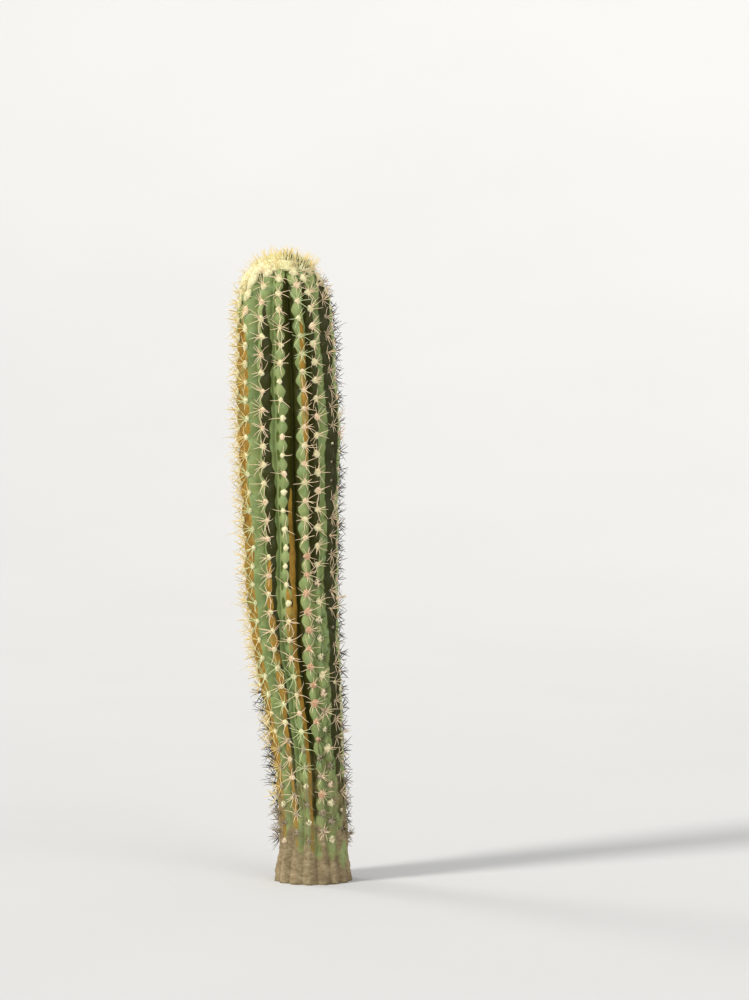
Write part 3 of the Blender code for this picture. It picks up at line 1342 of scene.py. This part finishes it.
@dataclass
class AreoleFelt:
    """The felt pads of the areoles, with their short wool."""

    areoles: Areoles
    growth: Growth
    seed: int = 21
    half_width: float = 0.0021
    half_length: float = 0.0024
    thickness: float = 0.0016
    sunk: float = 0.0006
    size_range: Span = (0.85, 1.15)
    rib_sizes: tuple[tuple[int, float], ...] = ((2, 1.22), (3, 0.62))
    young_size: float = 1.65
    young_fade: float = 0.012
    sunny_angle: float = math.radians(-160)
    sunny_breadth: float = 0.48
    sunny_length: float = 1.4
    sunny_fade: float = 0.042
    sunny_breadth_gain: float = 0.55
    rosy_rib: int = 1
    rosy_below: float = 0.27
    rosy_size: float = 1.25
    blush_from: Span = (-0.75, -0.25)
    blush_share: float = 0.6
    cream_ribs: tuple[int, ...] = (0, 2, 13)
    cream_blush: float = 0.15
    cream_reach: float = 0.014
    grey_from: Span = (0.16, 0.06)
    grey_share: float = 0.75
    shaded_rib: int = 3
    painted_shade_grey: float = 0.8
    pad_rings: int = 7
    pad_sides: int = 16
    lobes: tuple[int, ...] = (2, 3, 5)
    lumps: float = 0.07
    grit: float = 0.07 / 8
    squareness: float = 0.08
    corners: int = 4
    fibres: int = 30
    most_fibres: int = 150
    fibre_length: float = 0.0014
    fibre_range: Span = (0.7, 1.3)
    fibre_thickness: float = 0.00013
    fibre_tip: float = 0.15
    fibre_spread: float = 0.9
    fibre_depth: float = 0.0003
    fibre_splay: float = 0.25
    fibre_tangle: float = 0.3
    fibre_curl: float = 0.25

    def sizes(self, chance: Chance) -> Array:
        """Each pad's size, larger where it is young and still in wool.

        Args:
            chance: The source of chance.

        Returns:
            One size for each pad, as a share of a grown pad's.
        """
        age = np.maximum(0, self.areoles.from_tip - self.growth.wool_reach)
        young = (self.young_size - 1) * np.exp(-age / self.young_fade)
        fleecy = 1 + self.sunny_breadth_gain * (self.stretch() - 1)
        grown = np.where(self.rosy(), self.rosy_size, 1)
        for rib, size in self.rib_sizes:
            grown = np.where(self.areoles.rib == rib, size, grown)
        return (grown + young) * fleecy * chance.uniform(*self.size_range, len(self.areoles))

    def rosy(self) -> Array:
        """Which areoles have turned rosy."""
        return (self.areoles.rib == self.rosy_rib) & (self.areoles.length < self.rosy_below)

    def stretch(self) -> Array:
        """How far each pad is drawn out along its rib: on the sunny shoulder the young ones merge.

        Returns:
            One length for each pad, as a share of a plain pad's.
        """
        there = self.areoles
        age = np.maximum(0, there.from_tip - self.growth.wool_reach)
        angle = np.arctan2(there.side[:, 1], there.side[:, 0]) - math.pi / 2
        off = np.abs((angle - self.sunny_angle + math.pi) % math.tau - math.pi)
        merged = np.exp(-((off / self.sunny_breadth) ** 2) - age / self.sunny_fade)
        return 1 + self.sunny_length * merged

    def tones(self, chance: Chance) -> Array:
        """Deals each areole its felt.

        Args:
            chance: The source of chance.

        Returns:
            The number of a FeltTone for each.
        """
        there = self.areoles
        blush = rising(there.outward[:, 0], self.blush_from) * self.blush_share
        blush = np.where(np.isin(there.rib, self.cream_ribs), self.cream_blush, blush)
        grey = rising(there.length, self.grey_from) * self.grey_share
        # Grey felt on the shaded rib: painted shade.
        grey = np.where(there.rib == self.shaded_rib, self.painted_shade_grey, grey)
        young = there.from_tip < self.growth.wool_reach + self.cream_reach
        cream = number(FeltTone.CREAM)
        draw = chance.uniform(0, 1, len(there))
        tone = np.where(draw < blush, number(FeltTone.BLUSH), cream)
        tone = np.where(self.rosy(), number(FeltTone.ROSE), tone)
        draw = chance.uniform(0, 1, len(there))
        return np.where(young, cream, np.where(draw < grey, number(FeltTone.GREY), tone))

    def build_pads(self, name: str, mask: Array, size: Array, chance: Chance) -> Object:
        """Builds the chosen pads as closed cushions.

        Args:
            name: The object's name.
            mask: Which areoles get a pad here.
            size: Each areole's size.
            chance: The source of chance.

        Returns:
            The pads.
        """
        there, wide = self.areoles.chosen(mask), size[mask][:, None, None]
        stretch = self.stretch()[mask][:, None, None]
        tilt = np.linspace(0, math.pi / 2, self.pad_rings, endpoint=False)[:, None]
        turn = turns(self.pad_sides)
        waves = np.zeros((len(there), self.pad_rings, self.pad_sides))
        for lobes in self.lobes:
            phase = chance.uniform(0, math.tau, (len(there), 1, 1))
            waves += np.cos(lobes * turn + phase) * np.cos(tilt)
        lump = 1 + self.lumps * waves + chance.normal(0, self.grit, waves.shape)
        out = np.cos(tilt) * (1 + self.squareness * np.cos(self.corners * turn)) * lump * wide
        up = np.sin(tilt) * lump * self.thickness * wide
        up[:, 0] -= self.sunk
        side = out * np.cos(turn) * self.half_width
        along = out * np.sin(turn) * self.half_length * stretch
        tops = there.seat + there.outward * (self.thickness * wide[:, 0])
        return pointed_tubes(name, there.seat[:, None, None] + there.step(side, along, up), tops)

    def fibre_strands(self, mask: Array, size: Array, chance: Chance) -> Strands:
        """Lays out the short wool of the chosen pads.

        Args:
            mask: Which areoles get wool here.
            size: Each areole's size.
            chance: The source of chance.

        Returns:
            The fibres.
        """
        there, scale = self.areoles.chosen(mask), size[mask][:, None]
        stretch = self.stretch()[mask][:, None]
        shape = (len(there), self.most_fibres)
        turn = chance.uniform(0, math.tau, shape)
        out = np.sqrt(chance.uniform(0, 1, shape))
        reach = self.fibre_spread * out
        height = self.thickness * np.sqrt(1 - reach**2) - self.fibre_depth
        side = np.cos(turn) * self.half_width * reach
        along = np.sin(turn) * self.half_length * stretch * reach
        root = there.seat[:, None] + there.step(side, along, height) * scale[..., None]
        splay = out + self.fibre_splay
        lean = there.step(np.cos(turn) * splay, np.sin(turn) * splay, np.ones(shape))
        way = unit(lean + chance.normal(0, self.fibre_tangle, lean.shape))
        length = self.fibre_length * scale[..., None]
        reach = way * length * chance.uniform(*self.fibre_range, (*shape, 1))
        sag = chance.normal(0, self.fibre_curl, reach.shape) * length
        wool = Strands.laid((root, reach, sag), self.fibre_thickness, self.fibre_tip)
        quota = self.fibres * (scale * scale * stretch)
        return wool.chosen((np.arange(self.most_fibres) < quota).ravel())

    def make(self, effects: Effects, nodes: list[str]) -> None:
        """Builds and dresses the pads and their wool, tone by tone.

        Args:
            effects: The shared effects.
            nodes: The nodes of the areole rows.
        """
        chance = np.random.default_rng(self.seed)
        size, tones = self.sizes(chance), self.tones(chance)
        for tone in FeltTone:
            mask, material = tones == number(tone), tone.value.material(effects)
            pads = self.build_pads(f"areole_pads_{tone.name.lower()}", mask, size, chance)
            place(pads, material, "spines", nodes)
            wool = self.fibre_strands(mask, size, chance)
            fibres = wool.build(f"areole_wool_{tone.name.lower()}", rings=2, sides=3)
            place(fibres, material, "spines", nodes)


@dataclass(frozen=True)
class Stretch:
    """A stretch of a rib where something is dealt out to a share of the areoles or spines.

    Fields:
        rib: The rib's number.
        low: The height where it starts.
        high: The height where it ends.
        share: The share.
    """

    rib: int
    low: float
    high: float
    share: float

    def holds(self, rib: Array, height: Array) -> Array:
        """Which of some areoles lie in it, by their ribs and heights."""
        return (rib == self.rib) & (height > self.low) & (height < self.high)


@dataclass
class SpineCoat:
    """The spines of every areole: radials that lie over the ribs, and centrals that stand out.

    Each pair of numbers that a chance is drawn from is a mean and a spread, apart from the ranges.
    """

    areoles: Areoles
    growth: Growth
    seed: int = 31
    rings: int = 5
    sides: int = 4
    tip_share: float = 0.5
    radials: int = 12
    radial_length: float = 0.0106
    radial_range: Span = (0.55, 1.15)
    radial_thickness: float = 0.00050
    radial_stray: float = 0.45
    radial_lift: Span = (0.42, 0.18)
    radial_crook: float = 0.7
    most_crook: float = 1.2
    radial_arch: Span = (0.1, 0.5)
    centrals: int = 5
    central_length: float = 0.0096
    central_range: Span = (0.7, 1.1)
    central_thickness: float = 0.00058
    central_sideways: Span = (0.0, 0.45)
    central_upward: Span = (0.15, 0.45)
    central_arch: Span = (0.1, 0.6)
    bend: float = 0.36
    root_lift: float = 0.0010
    root_spread: float = 0.0014
    side_room: float = 0.015
    sun: Span = (-0.94, 0.34)
    sunny_from: Span = (0.60, 0.90)
    sunny_gain: float = 0.24
    foot_vigour: float = 0.72
    foot_from: Span = (0.03, 0.09)
    shade_loss: float = 0.14
    shade_from: Span = (-0.2, 0.7)
    kept_shaded: float = 0.60
    kept_sunny: float = 0.92
    back_shade: float = 0.35
    tone_spread: float = 0.07
    # Straw below this is painted light; brown above rose_below is painted shade.
    straw_below: float = -0.66
    rose_below: float = 0.93
    brown_ribs: tuple[tuple[int, float], ...] = ((1, 0.30), (2, 0.60))
    brown_below: float = 0.25
    sunny_brown_over: float = 0.3
    sunny_brown_below: float = 0.155
    sunny_brown: float = 0.8
    grey_from: Span = (0.11, 0.03)
    grey_share: float = 0.8
    fresh: tuple[Stretch, ...] = (
        Stretch(1, 0.395, 0.470, 1.00),
        Stretch(13, 0.150, 0.395, 0.50),
        Stretch(14, 0.090, 0.215, 0.45),
        Stretch(0, 0.090, 0.180, 0.35),
        Stretch(8, 0.300, 0.440, 0.50),
    )
    bare: tuple[Stretch, ...] = (
        Stretch(0, 0.222, 0.405, 0.14),
        Stretch(13, 0.415, 0.455, 0.45),
        Stretch(2, 0.400, 0.430, 0.50),
        Stretch(6, 0.150, 0.260, 0.50),
        Stretch(10, 0.300, 0.390, 0.50),
    )

    def tones(self, chance: Chance) -> Array:
        """Deals out the colours: straw on the lit side and brown on the shaded side and back as
        painted light and shade, rosy in front, with brown low on some ribs, fresh green in
        stretches and grey with age.

        Args:
            chance: The source of chance.

        Returns:
            The number of a SpineTone for each areole.
        """
        there = self.areoles
        height = self.growth.rise(there.length)
        # Painted light and shade: how far each areole faces away from the light, the back counting
        # as shaded.
        shade = there.outward[:, 0] + self.back_shade * np.clip(there.outward[:, 1], 0, 1)
        shade = shade + chance.normal(0, self.tone_spread, len(there))
        bright, middling = shade < self.straw_below, shade < self.rose_below
        straw, rose, brown = map(number, (SpineTone.STRAW, SpineTone.ROSE, SpineTone.BROWN))
        tone = np.select([bright, middling], [straw, rose], brown)
        draw = chance.uniform(0, 1, len(there))
        low = there.length < self.sunny_brown_below
        browned = (self.sunward() > self.sunny_brown_over) & low & (draw < self.sunny_brown)
        for rib, share in self.brown_ribs:
            browned |= (there.rib == rib) & (there.length < self.brown_below) & (draw < share)
        tone = np.where(browned, brown, tone)
        for stretch in self.fresh:
            held = stretch.holds(there.rib, height) & (draw < stretch.share)
            tone = np.where(held, number(SpineTone.FRESH), tone)
        old = rising(there.length, self.grey_from) * self.grey_share
        return np.where(chance.uniform(0, 1, len(there)) < old, number(SpineTone.GREY), tone)

    def kept(self, each: int, chance: Chance) -> Array:
        """Draws which spines are still there.

        Args:
            each: How many there are to an areole.
            chance: The source of chance.

        Returns:
            True for each spine that is, areole by areole.
        """
        there = self.areoles
        height = self.growth.rise(there.length)
        share = self.kept_shaded + (self.kept_sunny - self.kept_shaded) * self.sunward()
        for stretch in self.bare:
            share = np.where(stretch.holds(there.rib, height), stretch.share, share)
        return (chance.uniform(0, 1, (len(there), each)) < share[:, None]).ravel()

    def star(self, chance: Chance) -> Strands:
        """Lays out the radials.

        Args:
            chance: The source of chance.

        Returns:
            The radials, areole by areole.
        """
        there, out = self.areoles, self.areoles.outward[:, None]
        shape = (len(there), self.radials, 1)
        start = chance.uniform(0, math.tau, (len(there), 1, 1))
        stray = chance.uniform(-self.radial_stray, self.radial_stray, shape)
        turn = start + math.tau / self.radials * (np.arange(self.radials)[:, None] + stray)
        flat = there.side[:, None] * np.cos(turn) + there.along[:, None] * np.sin(turn)
        lift = chance.normal(*self.radial_lift, shape)
        way = flat * np.cos(lift) + out * np.sin(lift)
        length = self.radial_length * chance.uniform(*self.radial_range, shape) * self.vigour()
        root = there.seat[:, None] + flat * self.root_spread + out * self.root_lift
        crook = chance.normal(0, self.radial_crook, shape)
        crook = np.clip(crook, -self.most_crook, self.most_crook)
        sag = np.cross(way, out) * crook + out * chance.normal(*self.radial_arch, shape)
        ways = (root, way * length, sag * length * self.bend)
        return Strands.laid(ways, self.radial_thickness, self.tip_share)

    def standing(self, chance: Chance) -> Strands:
        """Lays out the centrals.

        Args:
            chance: The source of chance.

        Returns:
            The centrals, areole by areole.
        """
        there, out = self.areoles, self.areoles.outward[:, None]
        shape = (len(there), self.centrals, 1)
        sideways = chance.normal(*self.central_sideways, shape)
        upward = chance.normal(*self.central_upward, shape)
        way = unit(out + there.side[:, None] * sideways + there.along[:, None] * upward)
        length = self.central_length * chance.uniform(*self.central_range, shape) * self.vigour()
        root = there.seat[:, None] + out * self.root_lift
        sag = there.along[:, None] * chance.normal(*self.central_arch, shape)
        ways = (root, way * length, sag * length * self.bend)
        return Strands.laid(ways, self.central_thickness, self.tip_share)

    def sunward(self) -> Array:
        """How far each areole faces the sun's side, from 0 to 1."""
        return rising(self.areoles.outward[:, :2] @ np.array(self.sun), self.sunny_from)

    def vigour(self) -> Array:
        """How long spines grow, which is less at the foot, on the shaded side and near its limit.

        Returns:
            Each areole's share of a full spine's length, with two more axes for its spines.
        """
        there = self.areoles
        foot = rising(there.length, self.foot_from)
        foot = self.foot_vigour + (1 - self.foot_vigour) * foot
        shade = 1 - self.shade_loss * rising(there.outward[:, 0], self.shade_from)
        share = foot * (shade + self.sunny_gain * self.sunward())
        low, high = np.array(cad_box)[:, 0]
        room = there.seat[:, 0] - low + self.side_room * (high - low)
        longest = self.radial_range[1] * self.radial_length + self.root_spread
        return np.minimum(share, room / longest)[:, None, None]

    def make(self, effects: Effects, nodes: list[str]) -> None:
        """Builds and dresses the spines, tone by tone.

        Args:
            effects: The shared effects.
            nodes: The nodes of the areole rows.
        """
        chance = np.random.default_rng(self.seed)
        tones = self.tones(chance)
        radials = (self.star(chance), self.radials, self.kept(self.radials, chance))
        centrals = (self.standing(chance), self.centrals, self.kept(self.centrals, chance))
        for tone in SpineTone:
            material = tone.value.material(effects)
            for kind, (strands, each, kept) in (("radial", radials), ("central", centrals)):
                name = f"{kind}_spines_{tone.name.lower()}"
                chosen = strands.chosen(np.repeat(tones == number(tone), each) & kept)
                place(chosen.build(name, self.rings, self.sides), material, "spines", nodes)


@dataclass(frozen=True)
class Fleece:
    """Strands of one kind over the crown.

    Fields:
        name: The piece's name.
        count: How many there are.
        length: Their mean length.
        thickness: Their thickness at the root.
        tangle: How far they lean at random.
        sides: How many points there are round each, and rings along it.
        upright: How far they turn up.
        shaded: Whether they stand only on the crown's shaded side, where their brown is painted
            shade.
    """

    name: str
    count: int
    length: float
    thickness: float
    tangle: float
    sides: int
    upright: float = 0.0
    shaded: bool = False


@dataclass
class CrownWool:
    """The wool over the growing tip: a felted cap, its loose fibres, and the young spines in it."""

    growth: Growth
    seed: int = 41
    wool: FeltFinish = FeltFinish("crown wool", screen(248, 245, 198), screen(228, 220, 160), 0.30)
    thickness: float = 0.0032
    rim_thickness: float = 0.0010
    rings: int = 26
    sides: int = 120
    lump: float = 0.0007
    lump_at_tip: float = 0.4
    clumps: Ripple = Ripple(seed=8, most_turns=9, shortest=0.005, longest=0.016)
    ragged: float = 0.05
    point_rise: float = 0.0002
    hem_drop: float = 0.0012
    inner_drop: float = 0.0025
    inner_share: float = 0.5
    fibres: Fleece = Fleece("crown_fibres", 9000, 0.0026, 0.00012, 0.80, 3)
    pale: Fleece = Fleece("crown_bristles_straw", 250, 0.0096, 0.00050, 0.22, 4)
    # Brown bristles on the shaded side only: painted shade.
    dark: Fleece = Fleece("crown_bristles_brown", 40, 0.0060, 0.00052, 0.20, 4, 0.4, True)
    spare: int = 8
    root_depth: float = 0.0003
    heart_depth: float = 0.034
    shaded_from: float = 0.011
    length_range: Span = (0.6, 1.2)
    curl: float = 0.16
    tip_share: float = 0.45

    def over(self, share: Array, rib: Array, lift: Array) -> Array:
        """Points over the wool.

        Args:
            share: Places from the growing tip to the rim, 0 to 1.
            rib: Places round the stem.
            lift: Distances over the cap's mean surface.

        Returns:
            One point for each place, in the last axis.
        """
        dome = (self.thickness - self.rim_thickness) * np.sqrt(1 - share * share)
        length = self.growth.crest_length - self.growth.wool_reach * share
        return self.growth.point(length, rib, -(self.rim_thickness + dome + lift))

    def tufts(self, share: Array, rib: Array) -> Array:
        """How far the cap's tufts stand over its mean surface."""
        ripple = self.clumps.at(share * self.growth.wool_reach, rib, self.growth.ribs)
        return self.lump * ripple * (self.lump_at_tip + (1 - self.lump_at_tip) * share)

    def build_cap(self) -> Object:
        """Builds the closed, lumpy cap.

        Returns:
            The cap.
        """
        share = 1 - np.arange(self.rings) / self.rings
        rib = np.arange(self.sides) / self.sides * self.growth.ribs
        share, rib = np.meshgrid(share, rib, indexing="ij")
        ragged = 1 + self.ragged * self.clumps.at(0 * share, rib, self.growth.ribs) * share
        over = self.over(np.minimum(share * ragged, 1), rib, self.tufts(share, rib))
        rim, tip_length = self.growth.wool_reach * share[0], self.growth.crest_length
        hem = self.growth.point(tip_length - rim, rib[0], self.hem_drop)
        inner = self.growth.point(tip_length - rim * self.inner_share, rib[0], self.inner_drop)
        tip = over[-1].mean(axis=0) + [0, 0, self.point_rise]
        ends = np.stack([tip, inner.mean(axis=0)])
        points = np.concatenate([inner, hem, over.reshape(-1, 3), ends])
        side, rows = np.arange(self.sides), self.rings + 2
        tip_at = rows * self.sides
        top = fan(tip_at - self.sides + side, tip_at)
        low = fan(side, tip_at + 1)[:, [1, 0, 2]]
        return mesh_object("crown_cap", points, [ring_quads(rows, self.sides), top, low])

    def build_fleece(self, fleece: Fleece, chance: Chance) -> Object:
        """Scatters strands over the cap that point away from the stem's heart.

        Args:
            fleece: The kind of strands.
            chance: The source of chance.

        Returns:
            The strands.
        """
        share = np.sqrt(chance.uniform(0, 1, fleece.count * self.spare))
        rib = chance.uniform(0, self.growth.ribs, fleece.count * self.spare)
        root = self.over(share, rib, self.tufts(share, rib) - self.root_depth)
        tip = self.growth.centre(np.array(self.growth.height))
        if fleece.shaded:
            root = root[(root[:, 0] > tip[0]) & (root[:, 1] < tip[1] - self.shaded_from)]
        root = root[: fleece.count]
        away = unit(root - (tip - [0, 0, self.heart_depth]))
        stray = chance.normal(0, fleece.tangle, root.shape)
        size = fleece.length * chance.uniform(*self.length_range, (len(root), 1))
        reach = unit(away + [0, 0, fleece.upright] + stray) * size
        sag = chance.normal(0, self.curl, root.shape) * size
        strands = Strands.laid((root, reach, sag), fleece.thickness, self.tip_share)
        return strands.build(fleece.name, fleece.sides, fleece.sides)

    def make(self, effects: Effects) -> None:
        """Builds and dresses the cap, its fibres and its young spines.

        Args:
            effects: The shared effects.
        """
        chance = np.random.default_rng(self.seed)
        wool = self.wool.material(effects)
        place(self.build_cap(), wool, "crown_wool", [CROWN_NODE])
        place(self.build_fleece(self.fibres, chance), wool, "crown_wool", [CROWN_NODE])
        for fleece, tone in ((self.pale, SpineTone.STRAW), (self.dark, SpineTone.BROWN)):
            bristles = self.build_fleece(fleece, chance)
            place(bristles, tone.value.material(effects), "spines", [CROWN_NODE])


@dataclass(frozen=True)
class Lamp:
    """A far, soft studio light.

    Fields:
        name: The lamp's name.
        azimuth: Its direction from the plant, in degrees to the right of the viewer.
        elevation: Its height, in degrees.
        softness: How wide it looks from the plant, in degrees.
        strength: How strong it is, in watts to a square metre.
        colour: Its colour.
    """

    name: str
    azimuth: float
    elevation: float
    softness: float
    strength: float
    colour: tuple[float, float, float]


@dataclass
class Studio:
    """The pale floor and wall, the soft lights and the camera, none of them part of the plant."""

    growth: Growth
    picture: tuple[int, int] = (749, 1000)
    pixel: float = 0.0008
    foot_pixel: Span = (313.0, 882.0)
    distance: float = 3.0
    elevation: float = 3.0
    bowl_middle: Span = (0.4, 1.0)
    bowl_floor: float = 1.6
    bowl_wall: float = 4.8
    bowl_height: float = 1.7
    bowl_steps: int = 24
    bowl_sides: int = 96
    floor_pale: Colour = screen(208, 208, 207)
    floor_dark: Colour = screen(204, 204, 203)
    floor_scale: float = 3.0
    floor_shine: tuple[tuple[str, float], ...] = (("Roughness", 0.9), ("Specular IOR Level", 0.1))
    sky: float = 0.57
    sky_colour: Colour = screen(250, 250, 252)
    lamps: tuple[Lamp, ...] = (
        Lamp("key", -58, 38, 12.0, 2.45, (1.0, 0.98, 0.94)),
        Lamp("fill", 36, 22, 40.0, 1.45, (1.0, 0.99, 0.97)),
        Lamp("rim", -128, 34, 20.0, 0.8, (1.0, 0.98, 0.94)),
    )

    @staticmethod
    def aim(obj: Object, target: Array, azimuth: float, elevation: float, away: float) -> None:
        """Puts a camera or a lamp in place, looking at a point.

        Args:
            obj: The camera or lamp.
            target: The point.
            azimuth: Its direction from there, in degrees to the right of the viewer.
            elevation: Its direction over the level, in degrees.
            away: Its distance from there.
        """
        turn, rise = math.radians(azimuth), math.radians(elevation)
        level = math.cos(rise)
        back = unit(np.array([math.sin(turn) * level, -math.cos(turn) * level, math.sin(rise)]))
        right = unit(np.cross([0.0, 0.0, 1.0], back))
        matrix = np.eye(4)
        matrix[:3, :3] = np.stack([right, np.cross(back, right), back], axis=-1)
        matrix[:3, 3] = target + back * away
        obj.matrix_world = Matrix(matrix.tolist())

    def add_camera(self) -> None:
        """Adds the camera where the viewer stands, framed as the picture is."""
        width, height = self.picture
        off = np.array([width / 2 - self.foot_pixel[0], 0.0, self.foot_pixel[1] - height / 2])
        data = bpy.data.cameras.new("camera")
        data.lens = data.sensor_width * self.distance / (height * self.pixel)
        camera = new_object("camera", data)
        self.aim(camera, off * self.pixel, 0, self.elevation, self.distance)
        bpy.context.scene.camera = camera

    def add_lamps(self) -> None:
        """Adds the soft lights."""
        target = np.array([0.0, 0.0, self.growth.height / 2])
        for lamp in self.lamps:
            data = bpy.data.lights.new(lamp.name, "SUN")
            data.angle = math.radians(lamp.softness)
            data.energy = lamp.strength
            data.color = lamp.colour
            self.aim(new_object(lamp.name, data), target, lamp.azimuth, lamp.elevation, 1.0)

    def add_bowl(self) -> None:
        """Adds the floor, which turns up into a wall all round."""
        turn = np.linspace(0, math.pi / 2, self.bowl_steps)
        rise = self.bowl_floor + (self.bowl_wall - self.bowl_floor) * np.sin(turn)
        radius = np.append(self.bowl_middle, rise)[:, None]
        height = np.append([0, 0], self.bowl_height * (1 - np.cos(turn)))[:, None]
        around = turns(self.bowl_sides)
        points = [radius * np.cos(around), radius * np.sin(around), height + 0 * around]
        wall, middle = ring_quads(len(radius), self.bowl_sides), np.arange(self.bowl_sides)
        points = np.stack(points, axis=-1).reshape(-1, 3)
        bowl = mesh_object("studio_floor", points, [wall[:, ::-1], middle[None]])
        board = MaterialBoard("pale studio floor", dict(self.floor_shine))
        drawn = {"Vector": board.place(), "Scale": self.floor_scale}
        noise = board.add("ShaderNodeTexNoise", drawn).outputs["Fac"]
        pale = board.mixed(noise, self.floor_pale, self.floor_dark)
        bowl.data.materials.append(board.joined(base_color=pale))

    def make(self) -> None:
        """Sets up the studio and how its light is shown."""
        self.add_camera()
        self.add_lamps()
        self.add_bowl()
        world = bpy.data.worlds.new("studio sky")
        world.use_nodes = True
        background = world.node_tree.nodes["Background"]
        background.inputs["Color"].default_value = self.sky_colour
        background.inputs["Strength"].default_value = self.sky
        scene = bpy.context.scene
        scene.world = world
        scene.view_settings.view_transform = "Standard"
        log.info("studio: %d lamps, camera at %.2f m", len(self.lamps), self.distance)


def main() -> None:
    """Builds the studio and the plant's sub-assemblies, in order."""
    logging.basicConfig(level=logging.INFO, format="%(name)s: %(message)s")
    growth = Growth()
    relief = Relief(growth)
    effects = Effects.built()
    everything = Areoles.grown(growth, relief)
    free = everything.chosen(everything.from_tip > growth.wool_reach - UNDER_WOOL)
    rows = sorted(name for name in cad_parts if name.startswith(ROW_PREFIX))
    Studio(growth).make()
    StemSkin(growth, relief).make(effects)
    CrownWool(growth).make(effects)
    AreoleFelt(free, growth).make(effects, rows)
    SpineCoat(free, growth).make(effects, rows)
    log.info("%d areoles on %d ribs", len(free), growth.ribs)


if __name__ == "__main__":
    main()
